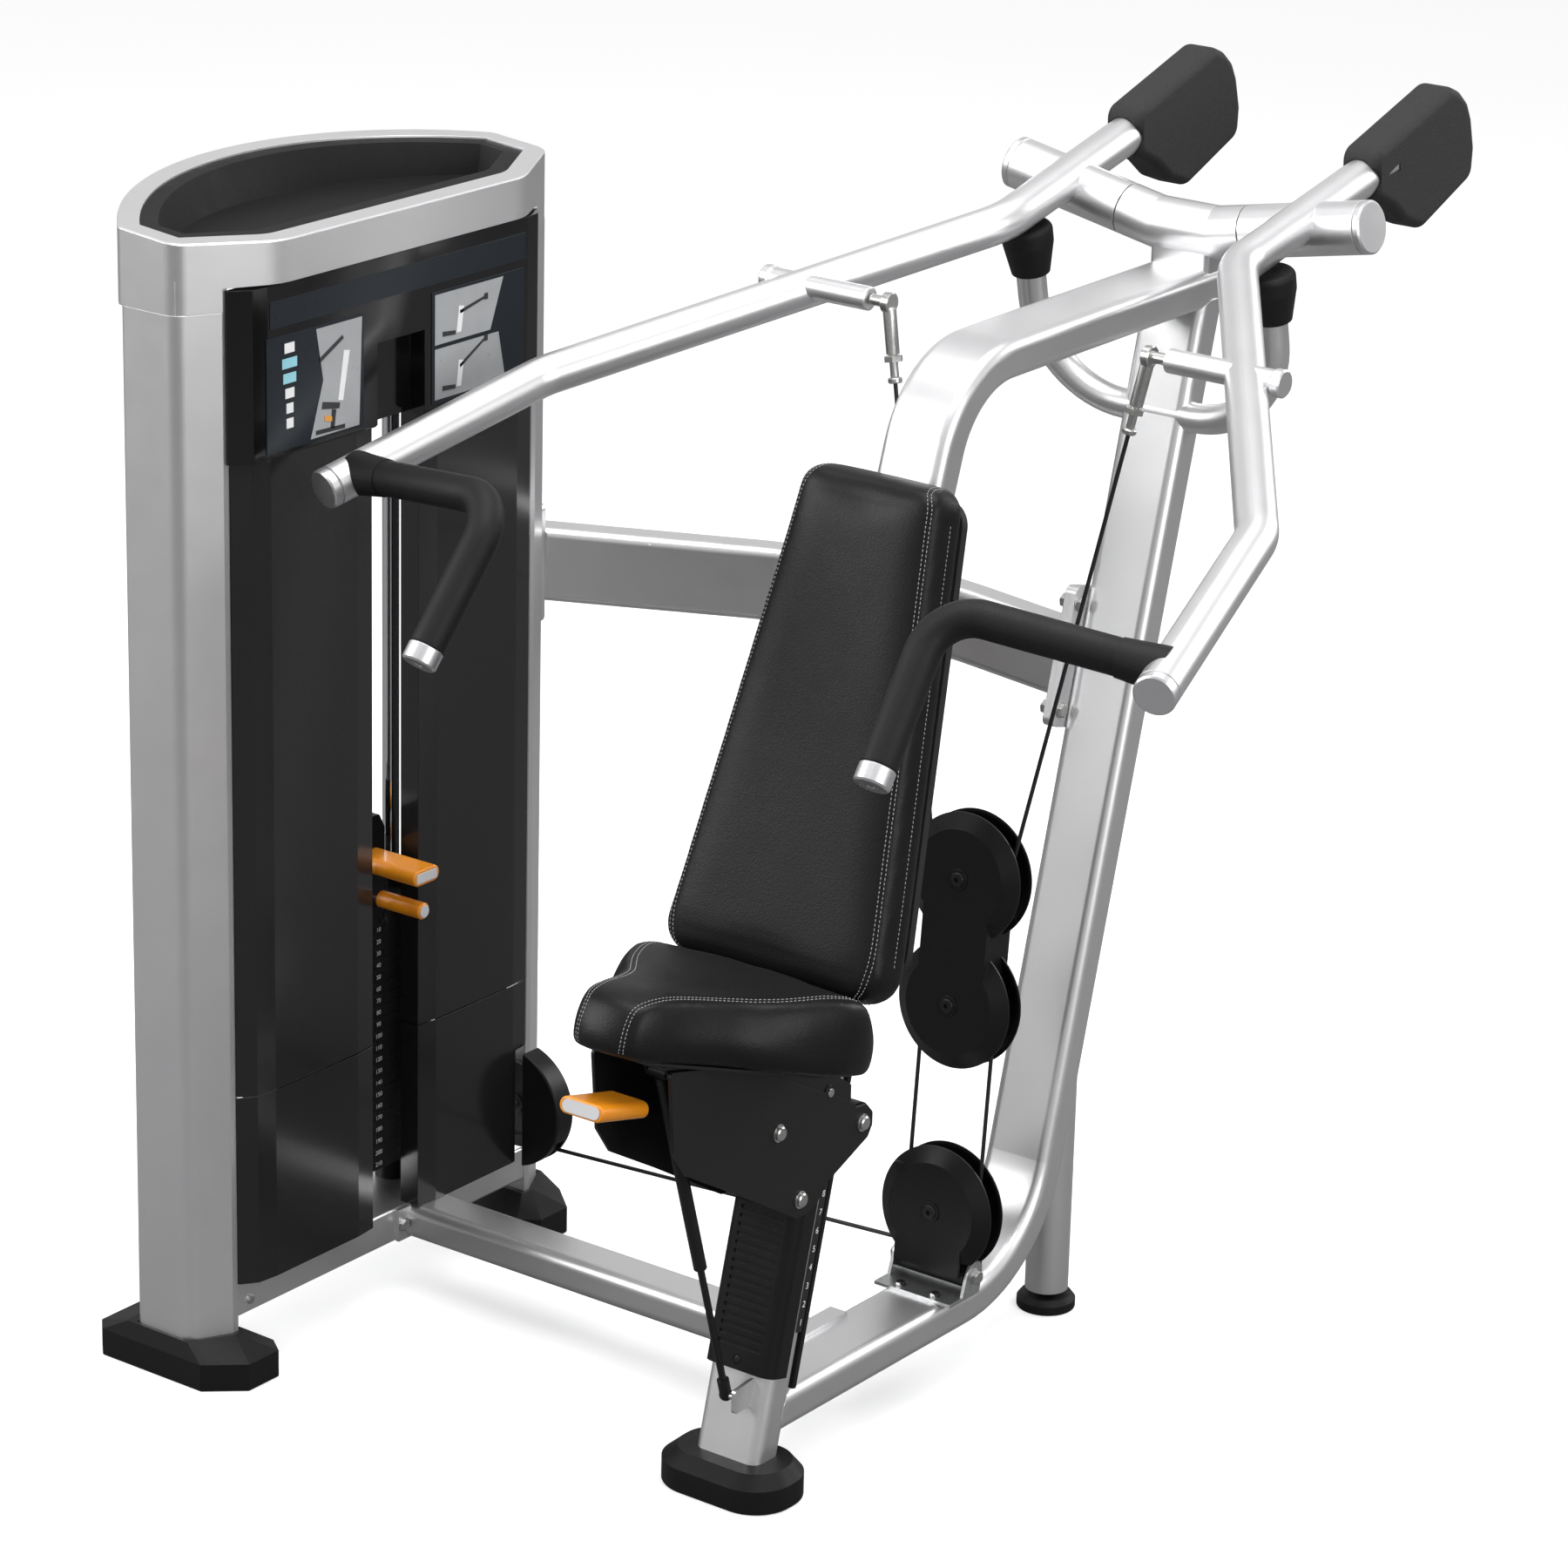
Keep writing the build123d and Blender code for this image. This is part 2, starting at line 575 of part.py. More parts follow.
with BuildPart() as back_board:
    with BuildSketch(facing(PAD_BOTTOM + PAD_BACK * (PAD_T + 0.5), PAD_BACK)):
        with BuildLine():
            Polyline((-114, -PAD_L + 8), (114, -PAD_L + 8), (180, -8), (-180, -8), close=True)
        make_face()
    extrude(amount=13)
    fillet(back_board.edges().filter_by(Axis(PAD_BOTTOM, PAD_BACK)), 38)
    add(neck_body, mode=Mode.SUBTRACT)
    add(column_body, mode=Mode.SUBTRACT)
save("back_board", back_board.part)

# ================================================================ PRESS ARMS
# the left arm's tube, from the end of its front cap to its rear
ARM_FRONT = Vector(669, -843, 1309)
ARM_BEND_FRONT = Vector(583, -481, 1411)
ARM_BEND_REAR = Vector(194, 69, 1595)
ARM_REAR = Vector(199.5, 377, 1666)
ARM_REAR_END = ARM_REAR + (ARM_REAR - ARM_BEND_REAR).normalized() * 60
CAP_L = 16.0
CAP_EDGE = 2.5
arm_end_dir = (ARM_BEND_FRONT - ARM_FRONT).normalized()
ARM_PATH = [ARM_FRONT + arm_end_dir * CAP_L, ARM_BEND_FRONT, ARM_BEND_REAR, ARM_REAR_END]

# cable eye on the stub that points outward from the arm
EYE_X, EYE_Z = 215, 1521
EYE_UP = (EYE_Z - BOTTOM_PULLEY.Z) / PULL_UP.Z
EYE = on_pull(EYE_X, EYE_UP)
STUB = Vector(0, EYE.Y, EYE_Z)
STUB_X0, STUB_X1 = 246, 427

HANDLE_PATH = [Vector(656, -789, 1325), Vector(354, -849, 1358), Vector(364, -985, 1187)]
HANDLE_R, GRIP_R, HANDLE_BEND = 14.0, 24.5, 62.0

arm_tube = round_tube(ARM_PATH, ARM_D / 2, ARM_BEND, ARM_WALL)
arm_solid = round_tube(ARM_PATH, ARM_D / 2, ARM_BEND)
handle_core = round_tube(HANDLE_PATH, HANDLE_R, HANDLE_BEND)
with BuildPart() as arm_left:
    add(arm_tube)
    add(hub_rod(SLEEVE_IN, SLEEVE_OUT, SLEEVE_D / 2))
    add(hub_rod(SLEEVE_IN - 1, SLEEVE_OUT + 1, BUSH_D / 2), mode=Mode.SUBTRACT)
    add(cross_rod(STUB, STUB_X0, STUB_X1, STUB_D / 2, edge=2.0))
    add(cross_rod(STUB, STUB_X1 - 14, STUB_X1 + 2, STUB_D / 2 + 2.5, edge=CAP_EDGE))
    add(handle_core)
save_pair("arm", arm_left.part)

# end caps: arm tube, sleeve and grip
CAP_SEAM = ARM_FRONT + arm_end_dir * (CAP_L - 0.6)
GRIP_END = HANDLE_PATH[2]
grip_dir = (GRIP_END - HANDLE_PATH[1]).normalized()
save_pair("arm_caps", fuse(
    rod(ARM_FRONT, CAP_SEAM, ARM_D / 2, edge=CAP_EDGE),
    rod(CAP_SEAM, ARM_FRONT + arm_end_dir * (CAP_L + 14), ARM_D / 2 - ARM_WALL),
    hub_rod(SLEEVE_OUT, SLEEVE_OUT + 12, SLEEVE_D / 2, edge=CAP_EDGE),
    rod(GRIP_END, GRIP_END + grip_dir * 27, GRIP_R - 0.2, bore=6.0, edge=CAP_EDGE)))

# rubber grip over the whole handle, with the moulded collar against the arm
COLLAR_R0, COLLAR_R1, COLLAR_L = 31, 26, 66
grip_start = HANDLE_PATH[0]
collar_dir = (HANDLE_PATH[1] - grip_start).normalized()
grip_solid = round_tube(HANDLE_PATH, GRIP_R, HANDLE_BEND)
with BuildPart() as grip_left:
    add(grip_solid)
    with BuildSketch(Plane(origin=grip_start, z_dir=collar_dir)):
        Circle(COLLAR_R0)
    with BuildSketch(Plane(origin=grip_start + collar_dir * COLLAR_L, z_dir=collar_dir)):
        Circle(COLLAR_R1)
    loft()
    add(arm_solid, mode=Mode.SUBTRACT)
    add(handle_core, mode=Mode.SUBTRACT)
    split(bisect_by=Plane(origin=grip_start + collar_dir * 2, z_dir=collar_dir), keep=Keep.TOP)
save_pair("grip", grip_left.part)

# counterweight paddle on the rear of each arm
# (y, z) core of the paddle, grown outward by PADDLE_GROW
PADDLE_CORE = [
    (396, 1689), (573, 1745), (588, 1739), (604, 1726), (614, 1708), (625, 1669),
    (624, 1645), (513, 1600), (474, 1614), (440, 1640), (398, 1660)]
PADDLE_GROW, PADDLE_T = 25, 58
with BuildPart() as counterweight_left:
    with BuildSketch(side_plane(ARM_REAR.X - PADDLE_T / 2)):
        with BuildLine():
            Polyline(*PADDLE_CORE, close=True)
        make_face()
        offset(amount=PADDLE_GROW, kind=Kind.ARC)
    extrude(amount=PADDLE_T)
    paddle_sides = counterweight_left.faces().sort_by(Axis.X)
    fillet(paddle_sides[-1].edges() + paddle_sides[0].edges(), 14)
    add(arm_solid, mode=Mode.SUBTRACT)
save_pair("counterweight", counterweight_left.part)

# ================================================================ PRESS CABLE
# each cable runs from its eye to the point where it meets the upper floating pulley
UPPER_PULLEY = on_pull(0, CARR_UP)
LOWER_PULLEY = on_pull(0, CARR_LOW)
eye_rise = EYE_UP - CARR_UP
eye_reach = sqrt(EYE_X * EYE_X + eye_rise * eye_rise)
touch_angle = atan2(eye_rise, EYE_X) - acos(PULLEY_R / eye_reach)
TOUCH = on_pull(PULLEY_R * cos(touch_angle), CARR_UP + PULLEY_R * sin(touch_angle))
cable_dir = (TOUCH - EYE).normalized()


def on_cable(along):
    return EYE + cable_dir * along


ROD_END_L = 112
with BuildPart() as rod_end_left:
    add(cross_rod(EYE, EYE_X - 6.5, EYE_X + 6.5, 15, edge=1.5))
    add(cross_rod(EYE, EYE_X + 6.5, EYE_X + 29, 8))
    add(rod(on_cable(8), on_cable(72), 9.5, edge=1.2))
    with BuildSketch(Plane(origin=on_cable(74), z_dir=cable_dir)):
        RegularPolygon(12, 6, major_radius=False)
    extrude(amount=8)
    add(rod(on_cable(70), on_cable(104), 6, edge=1.0))
    add(rod(on_cable(104), on_cable(ROD_END_L), 10, edge=1.5))
save_pair("rod_end", rod_end_left.part)
save_pair("press_cable", fuse(rod(on_cable(ROD_END_L), TOUCH, CABLE_R)))

# ================================================================ FLOATING CARRIAGE
# two pairs of dished covers joined by front and rear link plates and two side walls
LINK_T = 4
LINK_MID = (CARR_UP + CARR_LOW) / 2
link_front = facing(on_pull(0, LINK_MID, FLAT - LINK_T), PULL_FRONT)
link_rear = facing(on_pull(0, LINK_MID, -FLAT), PULL_FRONT)
with BuildPart() as carriage_housing:
    for centre in (UPPER_PULLEY, LOWER_PULLEY):
        add(dish_cover(centre, PULL_FRONT))
        add(dish_cover(centre, -PULL_FRONT))
    for link_plane in (link_front, link_rear):
        with BuildSketch(link_plane):
            Rectangle(110, CARR_UP - CARR_LOW + 40)
        extrude(amount=LINK_T)
    with BuildSketch(link_rear):
        with Locations((53, 0), (-53, 0)):
            Rectangle(4, 84)
    extrude(amount=2 * FLAT)
    for centre in (UPPER_PULLEY, LOWER_PULLEY):
        add(pull_rod(centre, -(FLAT + 1), FLAT + 1, AXLE_R), mode=Mode.SUBTRACT)
save("carriage_housing", carriage_housing.part)


def axle(centre):
    """A pulley axle: button head with a hex socket to the front, hex nut behind."""
    with BuildPart() as p:
        add(pull_rod(centre, -(FLAT + 8), FLAT, AXLE_R))
        with BuildSketch(Plane(origin=centre + PULL_FRONT * FLAT, z_dir=PULL_FRONT)):
            Circle(11)
        extrude(amount=5)
        fillet(p.faces().sort_by(Axis(centre, PULL_FRONT))[-1].edges(), 2.5)
        with BuildSketch(Plane(origin=centre + PULL_FRONT * (FLAT + 5.5), z_dir=-PULL_FRONT)):
            RegularPolygon(3.5, 6, major_radius=False)
        extrude(amount=4, mode=Mode.SUBTRACT)
        with BuildSketch(Plane(origin=centre - PULL_FRONT * FLAT, z_dir=-PULL_FRONT)):
            RegularPolygon(9.5, 6, major_radius=False)
        extrude(amount=7)
        # shoulder washers that centre the wheel
        add(pull_rod(centre, 9, FLAT - 4, 9))
        add(pull_rod(centre, -9, -(FLAT - 4), 9))
    return p.part


save("carriage_axles", fuse(axle(UPPER_PULLEY), axle(LOWER_PULLEY)))
save("carriage_wheel_upper", pulley(UPPER_PULLEY, PULL_FRONT))
save("carriage_wheel_lower", pulley(LOWER_PULLEY, PULL_FRONT))

# the two falls of the weight cable between the bottom pulley and the carriage
save("weight_cable_falls", fuse(
    rod(on_pull(PULLEY_R, 4), on_pull(PULLEY_R, CARR_LOW), CABLE_R),
    rod(on_pull(-PULLEY_R, 51), on_pull(-PULLEY_R, CARR_LOW), CABLE_R)))

# ================================================================ BOTTOM PULLEY
BARREL = Vector(0, -287, 165)         # cross barrel that the housing hangs on
BARREL_HOLE_R = 6.2
CHEEK_W = 112
with BuildPart() as bottom_pulley_housing:
    add(dish_cover(BOTTOM_PULLEY, PULL_FRONT))
    add(dish_cover(BOTTOM_PULLEY, -PULL_FRONT))
    # cut the covers off straight below, then add flat cheeks and a floor
    with BuildSketch(facing(on_pull(0, -66 - 40), PULL_FRONT)):
        Rectangle(220, 80)
    extrude(amount=40, both=True, mode=Mode.SUBTRACT)
    for front in (FLAT - 4, -FLAT):
        with BuildSketch(facing(on_pull(0, -46, front), PULL_FRONT)):
            Rectangle(CHEEK_W, 72)
        extrude(amount=4)
    with BuildSketch(facing(on_pull(0, -82, -FLAT), PULL_FRONT)):
        Rectangle(CHEEK_W, 5)
    extrude(amount=2 * FLAT)
    # anchor block for the fixed end of the cable
    with BuildSketch(facing(on_pull(-PULLEY_R, 52, -FLAT + 3), PULL_FRONT)):
        Rectangle(14, 12)
    extrude(amount=2 * FLAT - 6)
    add(cross_rod(BARREL, -58, 58, 19))
    add(cross_rod(BARREL, -60, 60, BARREL_HOLE_R), mode=Mode.SUBTRACT)
    add(pull_rod(BOTTOM_PULLEY, -(FLAT + 1), FLAT + 1, AXLE_R), mode=Mode.SUBTRACT)
    add(rod(on_pull(-PULLEY_R, 50), on_pull(-PULLEY_R, 70), CABLE_R + 0.5), mode=Mode.SUBTRACT)
save("bottom_pulley_housing", bottom_pulley_housing.part)

# bracket on the base rail: a base plate and two ears for the barrel
EAR_OUTLINE = [                # (y, z)
    (-318, RAIL_TOP), (-276, RAIL_TOP), (-270, 160), (-270, 178), (-277, 186), (-287, 189),
    (-298, 186), (-306, 174)]
EAR_X0, EAR_X1 = 61, 66
BRACKET_T = 5
with BuildPart() as bottom_pulley_bracket:
    with BuildSketch(Plane.XY.offset(RAIL_TOP)):
        with Locations((0, -312)):
            Rectangle(2 * EAR_X1, 72)
    extrude(amount=BRACKET_T)
    add(prism(EAR_OUTLINE, EAR_X0, EAR_X1, 2))
    add(prism(EAR_OUTLINE, -EAR_X1, -EAR_X0, 2))
    add(cross_rod(BARREL, -70, 70, BARREL_HOLE_R), mode=Mode.SUBTRACT)
    with BuildSketch(Plane.XY.offset(RAIL_TOP)):
        with Locations(*BRACKET_HOLES):
            Circle(BRACKET_HOLE_R)
    extrude(amount=BRACKET_T, mode=Mode.SUBTRACT)
save("bottom_pulley_bracket", bottom_pulley_bracket.part)

save("bottom_pulley_wheel", pulley(BOTTOM_PULLEY, PULL_FRONT))

# ================================================================ WEIGHT TOWER
def across(y):
    """y mirrored about the tower's middle."""
    return 2 * TOWER_Y - y


# plan outlines (x, y) of the two pillars: near is the -Y one
PILLAR_BACK_X, PILLAR_BEVEL_X, PILLAR_END_Y = -891, -791, -1000
PILLAR_FLOOR_Z = 50
NEAR_PILLAR = [(PILLAR_BACK_X, PILLAR_END_Y), (PILLAR_BEVEL_X, PILLAR_END_Y), (-760, -941),
               (-760, -930), (PILLAR_BACK_X, -930)]
FAR_PILLAR = [(x, across(y)) for x, y in NEAR_PILLAR]


def pillar(points, height, wall=0.0):
    """A prism on a pillar outline, left hollow when a wall is given."""
    with BuildPart() as p:
        with BuildSketch(Plane.XY.offset(PILLAR_FLOOR_Z)) as sk:
            with BuildLine():
                Polyline(*points, close=True)
            make_face()
            fillet(corners(sk, PILLAR_BEVEL_X), 24)
            fillet([v for v in corners(sk, PILLAR_BACK_X) if abs(v.Y - TOWER_Y) > 380], 10)
            if wall:
                offset(amount=-wall, kind=Kind.INTERSECTION, mode=Mode.SUBTRACT)
        extrude(amount=height)
    return p.part


BEAM_L = 640
TOP_BEAM_Z, TOP_BEAM_H = 1446.0, 32.0
TOP_BEAM_TOP = TOP_BEAM_Z + TOP_BEAM_H
BASE_Z0, BASE_Z1 = 85.0, 137.0
SHELF_T = 8
STACK_SPOT = (STACK_X, TOWER_Y)
ROD_SPOTS = [(STACK_X, TOWER_Y - ROD_HALF), (STACK_X, TOWER_Y + ROD_HALF)]
BASE_PULLEY = Vector(-754.5, -315, 221)
BASE_WHEEL = BASE_PULLEY + Vector(0, 2, 0)
TOP_PULLEY_R, TOP_PULLEY_Z = 40.0, 1527
TOP_PULLEY_STACK = Vector(STACK_X, TOWER_Y + TOP_PULLEY_R, TOP_PULLEY_Z)
TOP_PULLEY_REAR = Vector(STACK_X, BASE_PULLEY.Y - TOP_PULLEY_R, TOP_PULLEY_Z)
with BuildPart() as tower_frame:
    for outline in (NEAR_PILLAR, FAR_PILLAR):
        add(pillar(outline, PILLAR_TOP - PILLAR_FLOOR_Z, WALL))
        add(pillar(outline, 5))
    # base beam, stack shelf and top beam between the pillars
    with BuildSketch(facing((0, TOWER_Y - BEAM_L / 2, 0), (0, 1, 0))):    # local y is down
        with Locations(((BEAM_X0 + BEAM_X1) / 2, -(BASE_Z0 + BASE_Z1) / 2)):
            RectangleRounded(BEAM_X1 - BEAM_X0, BASE_Z1 - BASE_Z0, 4)
    extrude(amount=BEAM_L)
    with BuildSketch(Plane.XY.offset(BASE_Z1 - SHELF_T)):
        with Locations((-843, TOWER_Y)):
            Rectangle(96, BEAM_L)
    extrude(amount=SHELF_T)
    with BuildSketch(Plane.XY.offset(TOP_BEAM_Z)):
        with Locations(STACK_SPOT):
            Rectangle(60, BEAM_L)
        with Locations(STACK_SPOT, (STACK_X, BASE_PULLEY.Y)):
            Circle(8, mode=Mode.SUBTRACT)
    extrude(amount=TOP_BEAM_H)
    # pulley cheeks and axles standing on the top beam
    for centre in (TOP_PULLEY_STACK, TOP_PULLEY_REAR):
        with BuildSketch(Plane.XY.offset(TOP_BEAM_TOP)):
            with Locations((STACK_X - 16, centre.Y), (STACK_X + 16, centre.Y)):
                Rectangle(5, 44)
        extrude(amount=centre.Z + 22 - TOP_BEAM_TOP)
        add(cross_rod(centre, STACK_X - 20, STACK_X + 20, AXLE_R))
    # axle and bearing arm of the base pulley
    add(rod((BASE_PULLEY.X, BASE_PULLEY.Y - 12, BASE_PULLEY.Z),
            (BASE_PULLEY.X, -283, BASE_PULLEY.Z), AXLE_R))
    with BuildSketch(facing((0, -300, 0), (0, 1, 0))):
        with Locations((-771, -BASE_PULLEY.Z)):
            RectangleRounded(58, 44, 6)
    extrude(amount=10.5)
save("tower_frame", tower_frame.part)

# silver cap: D outline, its top face sloping down to the front (+X)
CAP_FRONT_X, CAP_FRONT_Y = -721.0, -867.0
CAP_BULGE_X = -1062            # rearmost point of the curved back
CAP_SLOPE = 0.088
CAP_HOLLOW = 44
cap_top = Plane(origin=(-760, TOWER_Y, 1654), x_dir=(0, 1, 0),
                z_dir=Vector(CAP_SLOPE, 0, 1).normalized())


def cap_outline(inset=0.0):
    near_back = (PILLAR_BACK_X, PILLAR_END_Y)
    far_back = (PILLAR_BACK_X, across(PILLAR_END_Y))
    with BuildSketch() as sk:
        with BuildLine():
            Polyline(near_back, (PILLAR_BEVEL_X, PILLAR_END_Y), (CAP_FRONT_X, CAP_FRONT_Y),
                     (CAP_FRONT_X, across(CAP_FRONT_Y)), (PILLAR_BEVEL_X, across(PILLAR_END_Y)),
                     far_back)
            ThreePointArc(far_back, (CAP_BULGE_X, TOWER_Y), near_back)
        make_face()
        fillet(corners(sk, CAP_FRONT_X), 95)
        fillet(corners(sk, PILLAR_BEVEL_X), 30)
        fillet(corners(sk, PILLAR_BACK_X), 16)
        if inset:
            offset(amount=-inset, kind=Kind.ARC, mode=Mode.REPLACE)
    return sk.sketch


outer_face, hollow_face, pocket_face = cap_outline(), cap_outline(4), cap_outline(30)
with BuildPart() as tower_cap:
    with BuildSketch(Plane.XY.offset(PILLAR_TOP)):
        add(outer_face)
    extrude(amount=160)
    split(bisect_by=cap_top, keep=Keep.BOTTOM)
    chamfer(tower_cap.faces().sort_by(Axis.Z)[-1].edges(), 2.0)
    # hollow underside
    with BuildSketch(Plane.XY.offset(PILLAR_TOP)):
        add(hollow_face)
    extrude(amount=CAP_HOLLOW, mode=Mode.SUBTRACT)
    # tray pocket, open to the hollow
    with BuildSketch(Plane.XY.offset(PILLAR_TOP)):
        add(pocket_face)
    extrude(amount=200, mode=Mode.SUBTRACT)
    # front recess over the header panel
    with BuildSketch(Plane.XY.offset(PILLAR_TOP - 1)):
        with Locations(((-759.5 - 700) / 2, TOWER_Y)):
            Rectangle(59.5, 660)
    extrude(amount=1591 - PILLAR_TOP + 1, mode=Mode.SUBTRACT)
    # seats over the pillars so that the cap bears on them
    for outline in (NEAR_PILLAR, FAR_PILLAR):
        with BuildSketch(Plane.XY.offset(PILLAR_TOP)):
            with BuildLine():
                Polyline(*outline, close=True)
            make_face()
            offset(amount=-4)
        extrude(amount=CAP_HOLLOW + 2)
save("tower_cap", tower_cap.part)

# dished black tray in the cap
tray_outer, tray_rim, tray_floor = cap_outline(30.4), cap_outline(42), cap_outline(66)
TRAY_Z = 1612
with BuildPart() as cap_tray:
    with BuildSketch(Plane.XY.offset(TRAY_Z)):
        add(tray_outer)
    extrude(amount=120)
    split(bisect_by=cap_top.offset(-3.0), keep=Keep.BOTTOM)
    with BuildSketch(Plane.XY.offset(TRAY_Z + 6)):
        add(tray_floor)
    with BuildSketch(Plane.XY.offset(TRAY_Z + 100)):
        add(tray_rim)
    loft(mode=Mode.SUBTRACT)
save("cap_tray", cap_tray.part)


def sheet_profile(outline, side=1):
    """A plan sketch of (x, y) points, y counted from the tower's middle and signed by side."""
    with BuildSketch() as sk:
        with BuildLine():
            Polyline(*[(x, TOWER_Y + side * y) for x, y in outline], close=True)
        make_face()
    return sk.sketch


# black header panel with its central slot; its sides turn back to the pillars
SLOT_HALF = 50.0
HEAD_Z0, HEAD_Z1 = 1347.0, 1588.0
HEADER_OUTLINE = [(-756, -326), (-733, -300), (-730, -274), (-730, 274), (-733, 300),
                  (-756, 326), (-759, 326), (-759, -326)]
header_face = side_plane(-757, TOWER_Y)
with BuildPart() as header_panel:
    with BuildSketch(Plane.XY.offset(HEAD_Z0)):
        add(sheet_profile(HEADER_OUTLINE))
    extrude(amount=HEAD_Z1 - HEAD_Z0)
    chamfer(header_panel.faces().sort_by(Axis.Z)[0].edges().sort_by(Axis.X)[-1], 4)
    with BuildSketch(header_face):
        with Locations((0, HEAD_Z0 + 50)):
            Rectangle(2 * SLOT_HALF, 140)
    extrude(amount=40, mode=Mode.SUBTRACT)
    # hollow back
    with BuildSketch(header_face.offset(-3)):
        with Locations((-176, (HEAD_Z0 + HEAD_Z1) / 2), (176, (HEAD_Z0 + HEAD_Z1) / 2)):
            Rectangle(232, HEAD_Z1 - HEAD_Z0 - 24)
    extrude(amount=26, mode=Mode.SUBTRACT)
save("header_panel", header_panel.part)

# smoked front shrouds, a lower and an upper panel each side of the slot
SHROUD_Z0, SEAM_Z = 137.5, 424.0
SHROUD_PANELS = [(SHROUD_Z0, SEAM_Z - 1.0), (SEAM_Z + 1.0, HEAD_Z0 - 0.5)]    # (bottom, top)
SHROUD_OUTLINE = [
    (-772, 319.5), (-758, 319.5), (-741, 296), (-737, 262), (-737, 86), (-741, SLOT_HALF),
    (-774, SLOT_HALF), (-774, SLOT_HALF + 3), (-744, SLOT_HALF + 3), (-740, 87),
    (-740, 261), (-744, 294.5), (-759.5, 316.5), (-772, 316.5)]


def shroud(side):
    profile = sheet_profile(SHROUD_OUTLINE, side)
    with BuildPart() as p:
        for bottom, top in SHROUD_PANELS:
            with BuildSketch(Plane.XY.offset(bottom)):
                add(profile)
            extrude(amount=top - bottom)
    return p.part


save("shroud_left", shroud(-1))
plain_shroud = shroud(1)
with BuildPart() as shroud_right:
    add(plain_shroud)
    # opening for the base pulley
    with BuildSketch(side_plane(-800, BASE_PULLEY.Y + 7, BASE_PULLEY.Z)):
        Rectangle(64, 192)
    extrude(amount=80, mode=Mode.SUBTRACT)
save("shroud_right", shroud_right.part)

# part-disc cover over the tower base pulley, open to the back and slotted for the cable
with BuildPart() as base_pulley_cover:
    with BuildSketch(facing(BASE_PULLEY - Vector(0, 20, 0), (0, 1, 0))):
        Circle(COVER_R)
        with Locations((-COVER_R + 26, 0)):
            Rectangle(2 * COVER_R, 2 * COVER_R, mode=Mode.SUBTRACT)
    extrude(amount=38)
    fillet(base_pulley_cover.edges().filter_by(GeomType.CIRCLE), 3)
    with BuildSketch(facing(BASE_PULLEY - Vector(0, 16.5, 0), (0, 1, 0))):
        Circle(COVER_R - 3.5)
    extrude(amount=31, mode=Mode.SUBTRACT)
    with BuildSketch(side_plane(-725, BASE_WHEEL.Y, BASE_PULLEY.Z - 62)):
        Rectangle(16, 40)
    extrude(amount=90, mode=Mode.SUBTRACT)
save("base_pulley_cover", base_pulley_cover.part)

save("base_pulley_wheel", pulley(BASE_WHEEL, (0, 1, 0)))
save("top_pulley_front", pulley(TOP_PULLEY_STACK, (1, 0, 0), TOP_PULLEY_R))
save("top_pulley_rear", pulley(TOP_PULLEY_REAR, (1, 0, 0), TOP_PULLEY_R))

# rubber boot under the near pillar: (x, y) outlines of its foot and of its top
PILLAR_BOOT_FOOT = [
    (-970, -990), (-948, -1012), (-758, -1013), (-706, -967), (-706, -905), (-735, -884),
    (-944, -884), (-970, -908)]
PILLAR_BOOT_TOP = [
    (-905, -1004), (-903, -1006), (-789, -1006), (-754, -944), (-753, -940), (-756, -920),
    (-903, -920), (-905, -922)]
PILLAR_BOOT_RIM_Z, PILLAR_BOOT_TOP_Z = 42, 66
with BuildPart() as near_boot:
    with BuildSketch():
        with BuildLine():
            Polyline(*PILLAR_BOOT_FOOT, close=True)
        make_face()
    extrude(amount=PILLAR_BOOT_RIM_Z)
    with BuildSketch(Plane.XY.offset(PILLAR_BOOT_RIM_Z)):
        with BuildLine():
            Polyline(*PILLAR_BOOT_FOOT, close=True)
        make_face()
    with BuildSketch(Plane.XY.offset(PILLAR_BOOT_TOP_Z)):
        with BuildLine():
            Polyline(*PILLAR_BOOT_TOP, close=True)
        make_face()
    loft()
    with BuildSketch(Plane.XY.offset(PILLAR_FLOOR_Z)):
        with BuildLine():
            Polyline(*NEAR_PILLAR, close=True)
        make_face()
    extrude(amount=40, mode=Mode.SUBTRACT)
    chamfer(near_boot.edges().group_by(Axis.Z)[0], 2)

# ================================================================ WEIGHT STACK
GUIDE_R = 12.5
save("guide_rods", fuse(*[upright(spot, BASE_Z1, TOP_BEAM_Z, GUIDE_R) for spot in ROD_SPOTS]))

# both pillar boots, and the rubber cushions under the stack
tower_middle = Plane(origin=(0, TOWER_Y, 0), z_dir=(0, 1, 0))
with BuildPart() as tower_rubbers:
    add(near_boot.part)
    add(mirror(near_boot.part, about=tower_middle, mode=Mode.PRIVATE))
    for spot in ROD_SPOTS:
        add(upright(spot, BASE_Z1, PLATE_Z0, 24, GUIDE_R + 0.3))
save("tower_rubbers", tower_rubbers.part)

PLATE_SIZE = (104.0, 306.0, 6)        # x, y, corner radius
with BuildPart() as weight_plates:
    for i in range(PLATE_N):
        with BuildSketch(Plane.XY.offset(PLATE_Z0 + i * PLATE_PITCH)):
            with Locations(STACK_SPOT):
                RectangleRounded(*PLATE_SIZE)
            with Locations(*ROD_SPOTS):
                Circle(14, mode=Mode.SUBTRACT)
            with Locations(STACK_SPOT):
                Circle(13, mode=Mode.SUBTRACT)
        extrude(amount=PLATE_T)
save("weight_plates", weight_plates.part)

